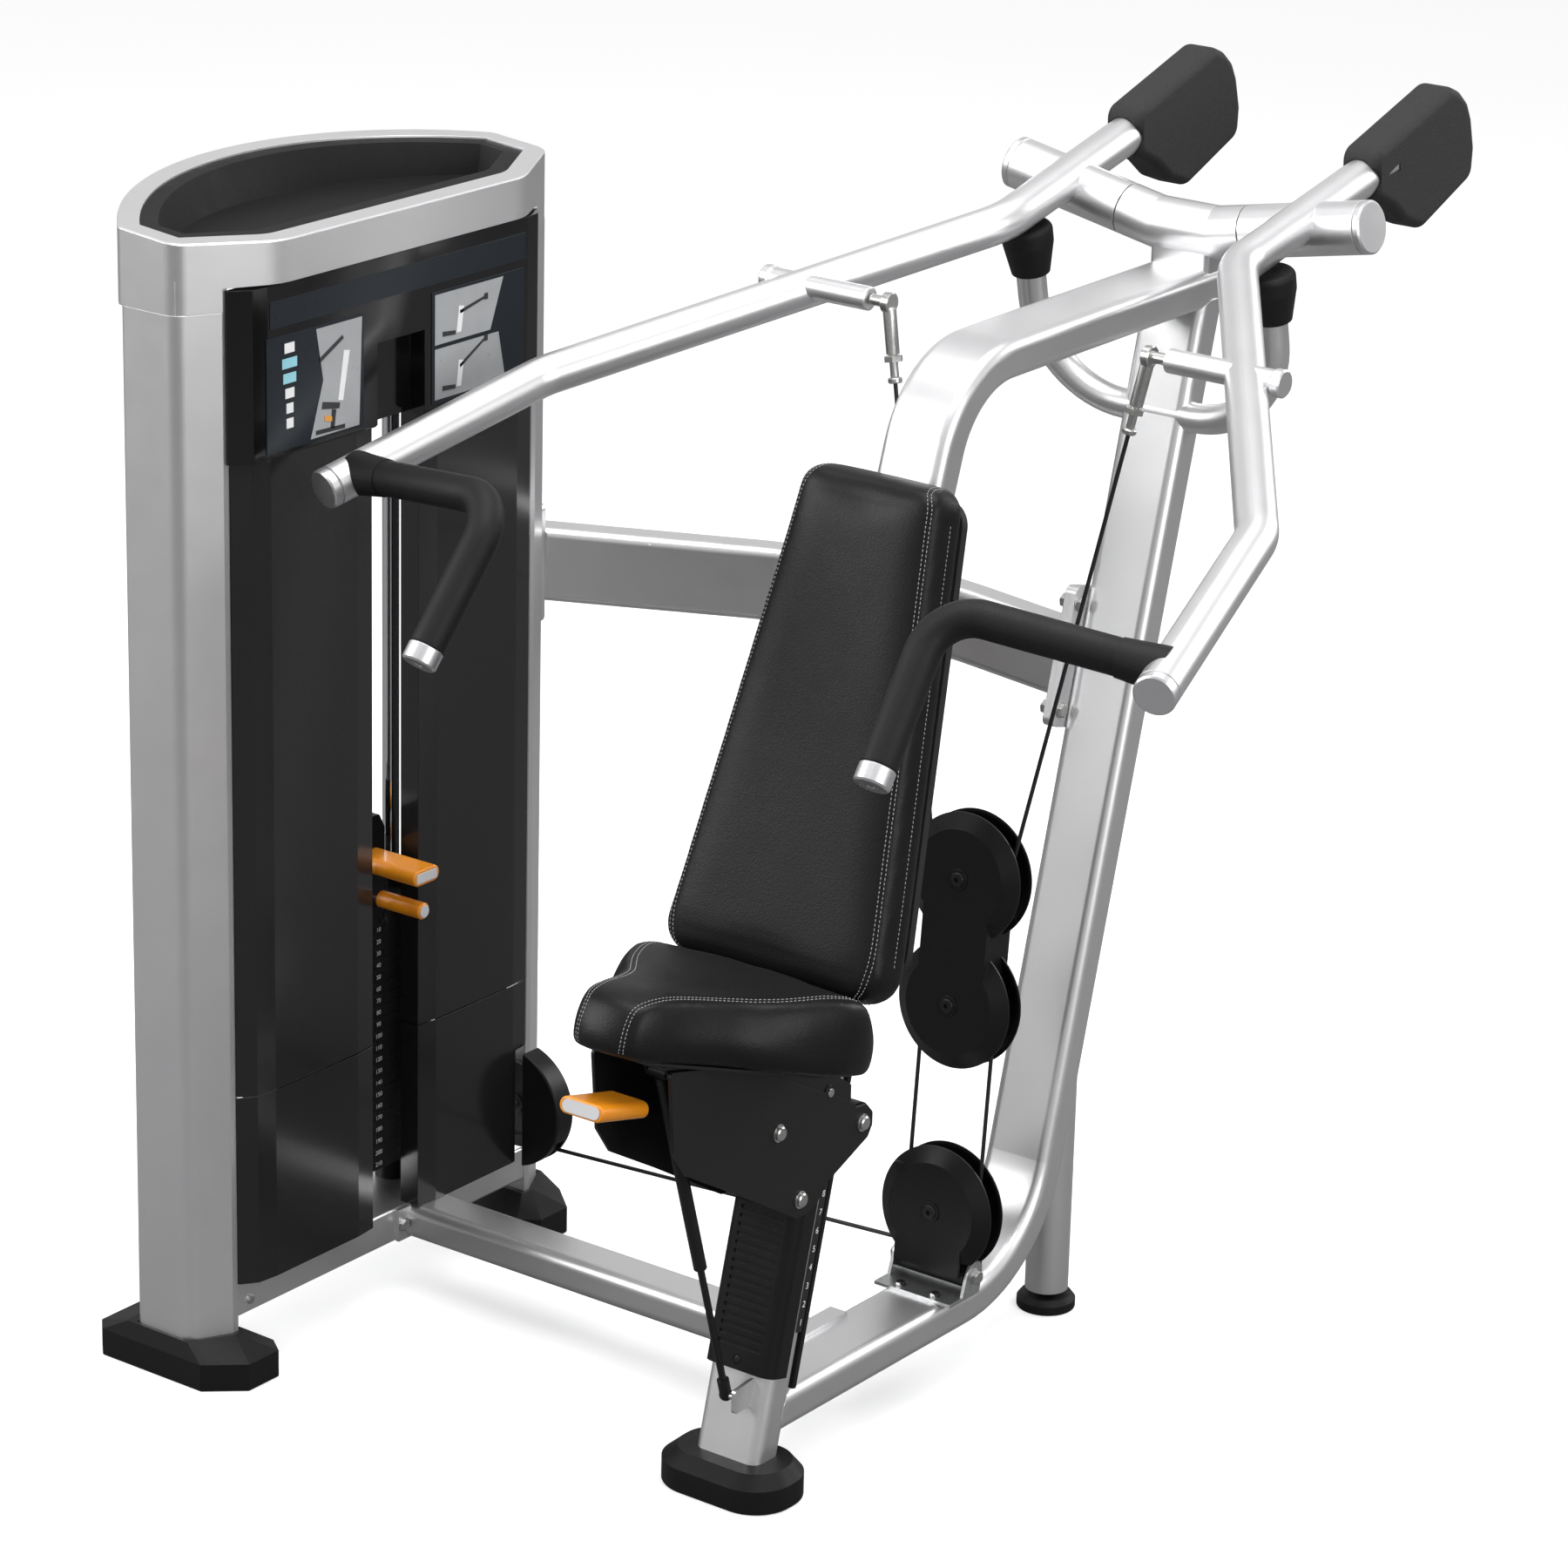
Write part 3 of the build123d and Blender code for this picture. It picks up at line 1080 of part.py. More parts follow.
# top plate with its central block, two guide bosses and the stem
TOP_PLATE_Z = PLATE_Z0 + PLATE_N * PLATE_PITCH
TOP_PLATE_T = 26
BLOCK_TOP_Z = 656.0
PIN = Vector(STACK_X, TOWER_Y, 629)
with BuildPart() as top_plate:
    with BuildSketch(Plane.XY.offset(TOP_PLATE_Z)):
        with Locations(STACK_SPOT):
            RectangleRounded(*PLATE_SIZE)
    extrude(amount=TOP_PLATE_T)
    with BuildSketch(Plane.XY.offset(TOP_PLATE_Z + TOP_PLATE_T)):
        with Locations(STACK_SPOT):
            RectangleRounded(96, 120, 6)
    extrude(amount=BLOCK_TOP_Z - TOP_PLATE_Z - TOP_PLATE_T)
    with BuildSketch(Plane.XY.offset(TOP_PLATE_Z + TOP_PLATE_T)):
        with Locations(*ROD_SPOTS):
            Circle(21)
    extrude(amount=36)
    with BuildSketch(Plane.XY.offset(TOP_PLATE_Z)):
        with Locations(*ROD_SPOTS):
            Circle(GUIDE_R + RUN_CLEAR)
    extrude(amount=80, mode=Mode.SUBTRACT)
    # stem down through the stack, then the cross hole for the pin
    add(upright(STACK_SPOT, PLATE_Z0 + 6, TOP_PLATE_Z + 2, 11))
    add(cross_rod(PIN, STACK_X - 60, STACK_X + 60, 5.2), mode=Mode.SUBTRACT)
save("top_plate", top_plate.part)

# selector pin with its round knob
PIN_KNOB_X0, PIN_KNOB_X1 = -770.0, -686.0
save("selector_pin", fuse(
    cross_rod(PIN, STACK_X - 46, PIN_KNOB_X0 + 2, 4.9),
    cross_rod(PIN, PIN_KNOB_X0, PIN_KNOB_X1, 12.5, edge=3)))

# add-on weight housing on the top plate, with its flat sliding knob
ADDON_HALF_X, ADDON_HALF_Y, ADDON_TOP_Z = 46, 52, 738
ADDON_KNOB_Z = 684
ADDON_OUTLINE = [              # (y, z)
    (TOWER_Y - ADDON_HALF_Y, BLOCK_TOP_Z), (TOWER_Y + ADDON_HALF_Y, BLOCK_TOP_Z),
    (TOWER_Y + ADDON_HALF_Y, 716), (TOWER_Y + 40, ADDON_TOP_Z),
    (TOWER_Y - 40, ADDON_TOP_Z), (TOWER_Y - ADDON_HALF_Y, 716)]
with BuildPart() as addon_housing:
    add(prism(ADDON_OUTLINE, STACK_X - ADDON_HALF_X, STACK_X + ADDON_HALF_X, 4))
    add(upright(STACK_SPOT, BLOCK_TOP_Z - 1, ADDON_TOP_Z + 2, 6), mode=Mode.SUBTRACT)
    with BuildSketch(side_plane(STACK_X + 10, TOWER_Y, ADDON_KNOB_Z)):
        SlotOverall(50, 16)
    extrude(amount=50, mode=Mode.SUBTRACT)
save("addon_housing", addon_housing.part)

with BuildPart() as addon_knob:
    with BuildSketch(side_plane(STACK_X + 14, TOWER_Y, ADDON_KNOB_Z)):
        SlotOverall(48, 14)
    extrude(amount=46)
    with BuildSketch(side_plane(-794, TOWER_Y, ADDON_KNOB_Z)):
        SlotOverall(56, 24)
    extrude(amount=112)
    fillet(addon_knob.faces().sort_by(Axis.X)[-1].edges(), 3)
save("addon_knob", addon_knob.part)

# ================================================================ WEIGHT CABLE, FIXED RUN
# (plane, radius, start angle) of the quarter turns round the pulleys
CABLE_TURNS = [
    (PULL_PLANE, PULLEY_R, 270),
    (facing(BASE_WHEEL, (0, -1, 0)), PULLEY_R, 180),
    (side_plane(*TOP_PULLEY_REAR), TOP_PULLEY_R, 0),
    (side_plane(*TOP_PULLEY_STACK), TOP_PULLEY_R, 90)]
over_top = Vector(0, 0, TOP_PULLEY_R)
with BuildPart() as weight_cable_run:
    add(rod(on_pull(0, -PULLEY_R), BASE_WHEEL - Vector(0, 0, PULLEY_R), CABLE_R))
    add(rod(BASE_WHEEL - Vector(PULLEY_R, 0, 0), TOP_PULLEY_REAR + Vector(0, TOP_PULLEY_R, 0),
            CABLE_R))
    add(rod(TOP_PULLEY_REAR + over_top, TOP_PULLEY_STACK + over_top, CABLE_R))
    for turn_plane, radius, start_angle in CABLE_TURNS:
        with BuildLine(turn_plane) as arc:
            CenterArc((0, 0), radius, start_angle, 90)
        with BuildSketch(Plane(origin=arc.line @ 0, z_dir=arc.line % 0)):
            Circle(CABLE_R)
        sweep(path=arc.line)
save("weight_cable_run", weight_cable_run.part)

save("stack_cable", fuse(upright(STACK_SPOT, BLOCK_TOP_Z, TOP_PULLEY_Z, CABLE_R)))

# ================================================================ SEAT
TILT = radians(SEAT_TILT)
SEAT_BACK = Vector(0, cos(TILT), -sin(TILT))     # along the seat, to the rear and down
SEAT_UP = Vector(0, sin(TILT), cos(TILT))        # square to the seat
SEAT_NOSE = Vector(0, -1050, 730)                # underside of the pad, at the nose


def seat_plane(back, up):
    return facing(SEAT_NOSE + SEAT_BACK * back + SEAT_UP * up, SEAT_UP)


# carriage: two side plates, top plates, a cross bar and the gas spring hanger
SIDE_X0, SIDE_X1 = 61, 66
SIDE_OUTLINE = [               # (y, z)
    (-1006, 706), (-930, 688), (-845, 664), (-800, 642), (-735, 606), (-617, 545),
    (-590, 524), (-566, 521), (-552, 506), (-552, 487), (-562, 472), (-650, 436),
    (-676, 412), (-695, 404), (-722, 404), (-864, 489), (-967, 548), (-996, 590)]
HANGER_OUTLINE = [(-958, 697), (-922, 687), (-932, 664), (-948, 664)]    # (y, z)
REAR_ROLL = Vector(0, -575, 497)
FRONT_ROLL = Vector(0, -715, 430)
PIVOT = Vector(0, -767, 544)
SEAT_BOLT_R = 5.0
side_left = prism(SIDE_OUTLINE, SIDE_X0, SIDE_X1, 6)
with BuildPart() as seat_carriage:
    add(side_left)
    add(mirror_x(side_left))
    with BuildSketch(seat_plane(165, -9)):
        Rectangle(2 * SIDE_X0, 250)
    extrude(amount=4)
    with BuildSketch(seat_plane(170, -5)):
        with BuildLine():
            Polyline((-48, -150), (48, -150), (150, 90), (150, 172), (-150, 172), (-150, 90),
                     close=True)
        make_face()
    extrude(amount=4.5)
    add(cross_rod(Vector(0, -800, 600), -SIDE_X0, SIDE_X0, 8))
    for side in (-1, 1):
        for centre in (REAR_ROLL, FRONT_ROLL, PIVOT):
            add(cross_rod(centre, side * 60, side * 67, SEAT_BOLT_R + RUN_CLEAR),
                mode=Mode.SUBTRACT)
    add(prism(HANGER_OUTLINE, 15, 20, 3))
    add(prism(HANGER_OUTLINE, -20, -15, 3))
save("seat_carriage", seat_carriage.part)


def seat_bolt(centre):
    """Pieces of a bolt across the carriage: shank, then a washer and a head at each side."""
    pieces = [cross_rod(centre, -SIDE_X1, SIDE_X1, SEAT_BOLT_R)]
    for side in (-1, 1):
        pieces.append(cross_rod(centre, side * SIDE_X1, side * 67.6, 12.5))
        pieces.append(cross_rod(centre, side * 67.6, side * 73, 10, edge=1.8))
    return pieces


def roller(centre, radius):
    return fuse(cross_rod(centre, -58, 58, radius), *seat_bolt(centre))


save("seat_rollers", fuse(roller(REAR_ROLL, 27.2), roller(FRONT_ROLL, 15.6),
                          *seat_bolt(PIVOT)))

# latch lever: pivot tube, arm and the flat knob under the seat nose
KNOB = Vector(0, -1057, 658)
KNOB_TILT = TILT * 0.9
KNOB_FRONT = Vector(0, -cos(KNOB_TILT), sin(KNOB_TILT))
LEVER_OUTLINE = [(-773, 536), (-762, 555), (-1020, 655), (-1026, 636)]    # (y, z)
with BuildPart() as seat_lever:
    add(cross_rod(PIVOT, -59, 59, 11))
    add(prism(LEVER_OUTLINE, -34, -28, 2))
    with BuildSketch(facing(KNOB - KNOB_FRONT * 46, KNOB_FRONT)):
        SlotOverall(72, 23)
    extrude(amount=98)
    fillet(seat_lever.faces().sort_by(Axis(KNOB, KNOB_FRONT))[-1].edges(), 2.5)
    add(cross_rod(PIVOT, -60, 60, SEAT_BOLT_R + RUN_CLEAR), mode=Mode.SUBTRACT)
save("seat_lever", seat_lever.part)

# gas spring: rod with its ball end below, cylinder with its cross eye above
STRUT_TOP = Vector(0, -942, 671)
STRUT_ROD_R, STRUT_R = 5.0, 9.2
strut_dir = (STRUT_TOP - BALL).normalized()
strut_l = (STRUT_TOP - BALL).length


def on_strut(along):
    return BALL + strut_dir * along


with BuildPart() as strut_rod:
    add(rod(on_strut(8), on_strut(strut_l - 165), STRUT_ROD_R))
    with Locations(BALL):
        Sphere(9.5)
    add(rod(on_strut(4), on_strut(26), 8.5))
    add(cross_rod(BALL, 0, TAB_X0 - 0.5, 5))
save("strut_rod", strut_rod.part)

save("strut_cylinder", fuse(
    rod(on_strut(strut_l - 330), on_strut(strut_l - 14), STRUT_R, STRUT_ROD_R + RUN_CLEAR, 1.5),
    rod(on_strut(strut_l - 14), on_strut(strut_l - 8), STRUT_R),
    cross_rod(STRUT_TOP, -14, 14, STRUT_R)))

# seat pad: rounded slab with a narrow nose; (x, y) with y negative to the rear
# of the sketch plane's own axes, as listed
SEAT_OUTLINE = [
    (-58, -22), (58, -22), (84, 60), (193, 246), (193, 330), (148, 370), (-148, 370),
    (-193, 330), (-193, 246), (-84, 60)]
with BuildPart() as seat_pad:
    with BuildSketch(seat_plane(0, 0)) as pad_sketch:
        with BuildLine():
            Polyline(*SEAT_OUTLINE, close=True)
        make_face()
        fillet(pad_sketch.vertices(), 22)
    extrude(amount=96)
    fillet(seat_pad.faces().sort_by(Axis(SEAT_NOSE, SEAT_UP))[-1].edges(), 20)
save("seat_pad", seat_pad.part)

# ================================================================ FRAME FASTENERS
bolts = []
for across_lug, up_lug in LUG_BOLTS:
    spot = lug_plane.from_local_coords(Vector(across_lug, up_lug, 0))
    bolts.append(hex_bolt((-TUBE_W / 2 + 2, spot.Y, spot.Z), (UPPER_X0, spot.Y, spot.Z),
                          shank=12, across=19, head_h=8, nut_h=10))
bolts.append(hex_bolt(BARREL + Vector(EAR_X1, 0, 0), BARREL - Vector(EAR_X1, 0, 0),
                      shank=12, across=19, head_h=8, nut_h=9))
for x, y in BRACKET_HOLES:
    bolts.append(hex_bolt((x, y, RAIL_TOP + BRACKET_T), (x, y, RAIL_TOP - 20),
                          shank=8, across=13, head_h=5))
for offset_y in BEAM_BOLT_OFFSETS:
    y = CROSS_Y + offset_y
    bolts.append(hex_bolt((BEAM_X1 + BEAM_FLANGE_T, y, CROSS_Z), (BEAM_X1, y, CROSS_Z),
                          shank=10, across=16, head_h=7))
for offset_x, offset_z in PILLAR_FLANGE_BOLTS:
    x, z = PILLAR_FLANGE_X + offset_x, PILLAR_FLANGE_Z + offset_z
    bolts.append(hex_bolt((x, PILLAR_FACE_Y + PILLAR_FLANGE_T, z), (x, PILLAR_FACE_Y, z),
                          shank=10, across=16, head_h=7))
save("frame_bolts", fuse(*bolts, axle(BOTTOM_PULLEY)))
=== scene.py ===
# Looks for a seated press machine with a weight tower, in metres, +Z up.
# The user faces -Y. The machine's centre plane is x = 0, and the weight tower stands
# on the -X side with its header and plates facing +X.
import bpy, bmesh, math, json
import numpy as np
from mathutils import Vector, Matrix
from mathutils.bvhtree import BVHTree

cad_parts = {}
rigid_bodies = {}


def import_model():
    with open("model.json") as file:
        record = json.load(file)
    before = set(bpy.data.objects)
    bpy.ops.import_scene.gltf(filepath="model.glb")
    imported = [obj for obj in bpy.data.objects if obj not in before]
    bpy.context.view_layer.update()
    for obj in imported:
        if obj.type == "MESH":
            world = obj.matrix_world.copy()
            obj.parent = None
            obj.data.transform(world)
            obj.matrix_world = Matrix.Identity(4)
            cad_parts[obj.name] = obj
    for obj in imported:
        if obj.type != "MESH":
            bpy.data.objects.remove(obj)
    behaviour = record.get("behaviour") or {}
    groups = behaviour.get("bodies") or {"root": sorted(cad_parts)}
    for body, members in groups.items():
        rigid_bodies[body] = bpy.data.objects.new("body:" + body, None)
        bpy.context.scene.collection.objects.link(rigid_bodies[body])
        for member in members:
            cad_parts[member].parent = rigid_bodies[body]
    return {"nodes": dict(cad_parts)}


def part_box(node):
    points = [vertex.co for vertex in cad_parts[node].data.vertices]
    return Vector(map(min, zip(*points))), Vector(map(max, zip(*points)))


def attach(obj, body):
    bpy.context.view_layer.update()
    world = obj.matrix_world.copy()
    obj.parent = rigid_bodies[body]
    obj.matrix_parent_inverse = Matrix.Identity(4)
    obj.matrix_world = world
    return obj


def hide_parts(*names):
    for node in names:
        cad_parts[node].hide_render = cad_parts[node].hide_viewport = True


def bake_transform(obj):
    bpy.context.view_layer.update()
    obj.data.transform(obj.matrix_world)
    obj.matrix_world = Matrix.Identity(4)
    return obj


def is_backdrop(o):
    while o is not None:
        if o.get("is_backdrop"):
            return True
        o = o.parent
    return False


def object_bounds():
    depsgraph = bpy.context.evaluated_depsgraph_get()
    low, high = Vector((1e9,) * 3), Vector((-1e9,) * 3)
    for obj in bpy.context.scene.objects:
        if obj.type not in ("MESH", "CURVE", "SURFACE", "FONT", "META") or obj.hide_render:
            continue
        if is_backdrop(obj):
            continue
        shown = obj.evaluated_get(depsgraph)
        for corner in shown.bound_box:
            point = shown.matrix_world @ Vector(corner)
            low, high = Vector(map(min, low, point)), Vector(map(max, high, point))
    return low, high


for old in list(bpy.data.objects):
    bpy.data.objects.remove(old)
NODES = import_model()["nodes"]
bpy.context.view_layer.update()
COLLECTION = bpy.context.scene.collection
X_AXIS = Vector((1, 0, 0))
TOWER_Y = -0.610             # centre of the tower
SEAT_TILT_DEG = 15.5


# ------------------------------------------------------------------ shader nodes
def set_inputs(node, **values):
    for name, value in values.items():
        node.inputs[name.replace("_", " ")].default_value = value


def add_node(tree, kind, **values):
    node = tree.nodes.new("ShaderNode" + kind)
    set_inputs(node, **values)
    return node


def color_ramp(tree, factor, stops):
    """Ramp through (position, rgb) stops in rising order."""
    node = add_node(tree, "ValToRGB")
    elements = node.color_ramp.elements
    while len(elements) > 1:
        elements.remove(elements[-1])
    elements[0].position = stops[0][0]
    elements[0].color = (*stops[0][1], 1)
    for position, color in stops[1:]:
        elements.new(position).color = (*color, 1)
    tree.links.new(factor, node.inputs["Fac"])
    return node.outputs["Color"]


class Surface:
    """A new material whose textures run on object coordinates."""

    def __init__(self, name):
        self.material = bpy.data.materials.new(name)
        self.material.use_nodes = True
        self.tree = self.material.node_tree
        self.link = self.tree.links.new
        self.shader = self.tree.nodes["Principled BSDF"]
        self.coords = add_node(self.tree, "TexCoord").outputs["Object"]

    def texture(self, kind, **values):
        node = add_node(self.tree, kind, **values)
        self.link(self.coords, node.inputs["Vector"])
        return node

    def noise(self, scale, detail=2.0, rough=0.5):
        node = self.texture("TexNoise", Scale=scale, Detail=detail, Roughness=rough)
        return node.outputs["Fac"]

    def cells(self, scale, output="Distance"):
        return self.texture("TexVoronoi", Scale=scale).outputs[output]

    def mix(self, factor, first, second):
        node = add_node(self.tree, "Mix")
        node.data_type = "FLOAT"
        node.inputs[0].default_value = factor
        self.link(first, node.inputs[2])
        self.link(second, node.inputs[3])
        return node.outputs[0]

    def bump(self, height, strength, distance, bevel=0.0):
        node = add_node(self.tree, "Bump", Strength=strength, Distance=distance)
        self.link(height, node.inputs["Height"])
        if bevel:
            edge = add_node(self.tree, "Bevel", Radius=bevel)
            edge.samples = 3
            self.link(edge.outputs["Normal"], node.inputs["Normal"])
        self.link(node.outputs["Normal"], self.shader.inputs["Normal"])

    def vary(self, base, amount, scale, rough, rough_amount):
        """Slow colour and roughness variation over the surface."""
        dark = tuple(c * (1 - amount) for c in base)
        light = tuple(min(1, c * (1 + amount)) for c in base)
        color = color_ramp(self.tree, self.noise(scale, detail=4.0), [(0.3, dark), (0.7, light)])
        self.link(color, self.shader.inputs["Base Color"])
        fine = self.noise(scale * 2.7, detail=5.0, rough=0.65)
        stops = [(0.3, (rough - rough_amount,) * 3), (0.7, (rough + rough_amount,) * 3)]
        self.link(color_ramp(self.tree, fine, stops), self.shader.inputs["Roughness"])


# ------------------------------------------------------------------ materials
def paint(name, base, rough, metallic, coat=0.0, flake=0.0, peel=0.05, wear=0.03, specular=0.5):
    """Sprayed or polished metal; flake mixes fine cells into the orange-peel bump."""
    s = Surface(name)
    s.vary(base, amount=wear, scale=7.0, rough=rough, rough_amount=wear)
    set_inputs(s.shader, Metallic=metallic, Coat_Weight=coat, Coat_Roughness=0.12,
               Specular_IOR_Level=specular)
    height = s.noise(520.0)
    if flake:
        height = s.mix(flake, height, s.cells(1500.0))
    s.bump(height, strength=peel, distance=0.0006, bevel=0.0012)
    return s.material


def plastic(name, base, rough, grain=900.0, strength=0.25):
    """Moulded plastic or rubber with a cellular grain."""
    s = Surface(name)
    s.vary(base, amount=0.06, scale=9.0, rough=rough, rough_amount=0.04)
    s.bump(s.cells(grain), strength=strength, distance=0.0005, bevel=0.001)
    set_inputs(s.shader, Specular_IOR_Level=0.22)
    return s.material


def speckled_rubber():
    s = Surface("speckled_rubber")
    specks = s.noise(900.0, detail=3.0, rough=0.7)
    grain = s.cells(640.0)
    stops = [(0.0, (0.008, 0.008, 0.0085)), (0.56, (0.012, 0.012, 0.0125)),
             (0.64, (0.035, 0.035, 0.036)), (0.8, (0.07, 0.07, 0.072))]
    s.link(color_ramp(s.tree, specks, stops), s.shader.inputs["Base Color"])
    set_inputs(s.shader, Roughness=0.78)
    s.bump(grain, strength=0.55, distance=0.0008)
    return s.material


def upholstery_vinyl():
    """Two sizes of leather cell over slow unevenness."""
    s = Surface("upholstery_vinyl")
    s.vary((0.0065, 0.0065, 0.007), amount=0.08, scale=6.0, rough=0.40, rough_amount=0.03)
    coarse, fine, uneven = s.cells(330.0), s.cells(820.0), s.noise(60.0, detail=4.0)
    s.bump(s.mix(0.25, s.mix(0.4, coarse, fine), uneven), strength=0.30, distance=0.0009)
    set_inputs(s.shader, Specular_IOR_Level=0.20, Sheen_Weight=0.01, Sheen_Roughness=0.4)
    return s.material


def amber_plastic():
    s = Surface("amber_plastic")
    s.vary((0.78, 0.27, 0.010), amount=0.05, scale=30.0, rough=0.32, rough_amount=0.03)
    set_inputs(s.shader, Subsurface_Weight=0.12, Subsurface_Scale=0.01, Coat_Weight=0.2)
    s.bump(s.noise(300.0), strength=0.06, distance=0.0005, bevel=0.0012)
    return s.material


def bare_metal(name, base, scale, rough):
    """Unpainted metal with crystal-like patches of the given texture scale."""
    s = Surface(name)
    stops = [(0.0, tuple(c * 0.82 for c in base)), (1.0, base)]
    color = color_ramp(s.tree, s.cells(scale, "Color"), stops)
    s.link(color, s.shader.inputs["Base Color"])
    set_inputs(s.shader, Metallic=1.0, Roughness=rough)
    s.bump(s.noise(900.0, detail=3.0), strength=0.15, distance=0.0004, bevel=0.0006)
    return s.material


def coated_cable():
    s = Surface("coated_cable")
    wave = s.texture("TexWave", Scale=120.0)
    wave.bands_direction = "DIAGONAL"
    s.vary((0.012, 0.012, 0.012), amount=0.1, scale=20.0, rough=0.35, rough_amount=0.05)
    s.bump(wave.outputs["Fac"], strength=0.25, distance=0.0005)
    return s.material


def stitch_thread():
    s = Surface("stitch_thread")
    s.vary((0.33, 0.33, 0.335), amount=0.12, scale=200.0, rough=0.7, rough_amount=0.05)
    s.bump(s.noise(2500.0), strength=0.3, distance=0.0002)
    return s.material


def flat_print(name, base, rough):
    s = Surface(name)
    s.vary(base, amount=0.05, scale=25.0, rough=rough, rough_amount=0.03)
    return s.material


silver = paint("silver_paint", (0.80, 0.80, 0.805), rough=0.36, metallic=0.92, coat=0.10,
               flake=0.35, peel=0.06, wear=0.015)
black_paint = paint("black_powder", (0.010, 0.010, 0.0105), rough=0.42, metallic=0.0,
                    peel=0.16, wear=0.02, specular=0.3)
plate_paint = paint("plate_paint", (0.022, 0.022, 0.024), rough=0.38, metallic=0.1,
                    coat=0.1, peel=0.3)
smoked = paint("smoked_panel", (0.012, 0.012, 0.013), rough=0.17, metallic=0.0, coat=0.10,
               peel=0.008, wear=0.006)
gloss = paint("header_gloss", (0.005, 0.005, 0.0055), rough=0.10, metallic=0.0, coat=0.2,
              peel=0.006, wear=0.006)
aluminium = paint("satin_alu", (0.72, 0.72, 0.73), rough=0.38, metallic=0.95)
chrome = paint("chrome", (0.82, 0.82, 0.83), rough=0.07, metallic=1.0, peel=0.01)

black_plastic = plastic("black_plastic", (0.008, 0.008, 0.0085), rough=0.34,
                        grain=800, strength=0.16)
tray_plastic = plastic("tray_plastic", (0.006, 0.006, 0.0065), rough=0.6,
                       grain=500, strength=0.3)
wheel_nylon = plastic("wheel_nylon", (0.022, 0.022, 0.023), rough=0.45)
boot_rubber = plastic("boot_rubber", (0.007, 0.007, 0.0075), rough=0.5, grain=700)
grip_rubber = plastic("grip_rubber", (0.009, 0.009, 0.0095), rough=0.55,
                      grain=520, strength=0.4)
grey_insert = plastic("grey_insert", (0.62, 0.62, 0.63), rough=0.45, strength=0.12)
board_plastic = plastic("board_plastic", (0.02, 0.02, 0.02), rough=0.6,
                        grain=300, strength=0.4)
# painted shade: near-black colour for the flat discs that stand in for the dark inside of the
# plates' pin holes
hole_shade_paint = plastic("painted_hole_shade", (0.01, 0.01, 0.01), rough=0.5)
black_oxide = plastic("black_oxide", (0.014, 0.014, 0.0145), rough=0.3,
                      grain=1200, strength=0.1)
speckle = speckled_rubber()
vinyl = upholstery_vinyl()
amber = amber_plastic()
zinc = bare_metal("zinc_plate", (0.66, 0.66, 0.64), scale=300.0, rough=0.28)
galvanised = bare_metal("galvanised", (0.62, 0.63, 0.63), scale=90.0, rough=0.38)
bronze = bare_metal("sintered_bronze", (0.55, 0.38, 0.17), scale=700.0, rough=0.45)
cable_coat = coated_cable()
thread = stitch_thread()
navy = flat_print("placard_navy", (0.006, 0.010, 0.015), rough=0.30)
print_grey = flat_print("placard_grey", (0.36, 0.37, 0.38), rough=0.3)
print_dark = flat_print("placard_dark", (0.03, 0.032, 0.035), rough=0.3)
print_white = flat_print("print_white", (0.82, 0.82, 0.82), rough=0.4)
print_blue = flat_print("print_pale_blue", (0.30, 0.62, 0.72), rough=0.4)
print_amber = flat_print("print_amber", (0.75, 0.32, 0.05), rough=0.4)
label_black = flat_print("label_black", (0.012, 0.012, 0.013), rough=0.3)

# material, names of the CAD nodes that wear it
LOOKS = [
    (silver, "main_frame seat_column gooseneck yoke_hub lower_cross_rail upper_cross_arm "
             "tower_frame tower_cap arm_left arm_right"),
    (boot_rubber, "levelling_foot front_boot tower_rubbers"),
    (bronze, "arm_bushes"),
    (grip_rubber, "stop_bumpers grip_left grip_right"),
    (zinc, "frame_bolts carriage_axles rod_end_left rod_end_right strut_rod"),
    (black_plastic, "column_cover column_guides bottom_pulley_housing carriage_housing "
                    "base_pulley_cover addon_housing seat_rollers"),
    (board_plastic, "back_board"),
    (galvanised, "bottom_pulley_bracket"),
    (wheel_nylon, "bottom_pulley_wheel carriage_wheel_upper carriage_wheel_lower "
                  "base_pulley_wheel top_pulley_front top_pulley_rear"),
    (tray_plastic, "cap_tray"),
    (gloss, "header_panel"),
    (smoked, "shroud_left shroud_right"),
    (chrome, "guide_rods"),
    (plate_paint, "weight_plates top_plate"),
    (amber, "selector_pin addon_knob seat_lever"),
    (aluminium, "arm_caps_left arm_caps_right"),
    (speckle, "counterweight_left counterweight_right"),
    (cable_coat, "press_cable_left press_cable_right weight_cable_falls weight_cable_run "
                 "stack_cable"),
    (black_paint, "seat_carriage strut_cylinder"),
]
for material, names in LOOKS:
    for name in names.split():
        slots = NODES[name].data.materials
        slots.clear()
        slots.append(material)


def by_face(node, material, test):
    """Gives the faces of a CAD node whose centre passes the test another material."""
    mesh = NODES[node].data
    mesh.materials.append(material)
    for face in mesh.polygons:
        if test(face.center):
            face.material_index = len(mesh.materials) - 1


by_face("seat_rollers", zinc, lambda c: abs(c.x) > 0.0605)
by_face("seat_lever", black_paint, lambda c: c.y > -1.010)
by_face("selector_pin", zinc, lambda c: c.x < -0.772)
by_face("addon_knob", black_plastic, lambda c: c.x < -0.7935)
by_face("frame_bolts", black_plastic, lambda c: False)       # a spare slot, on no face
by_face("frame_bolts", black_oxide,
        lambda c: -0.34 < c.y < -0.22 and c.z < 0.32 and abs(c.x) < 0.05)
by_face("carriage_axles", black_oxide, lambda c: True)
by_face("strut_rod", black_oxide, lambda c: c.x < 0.011)


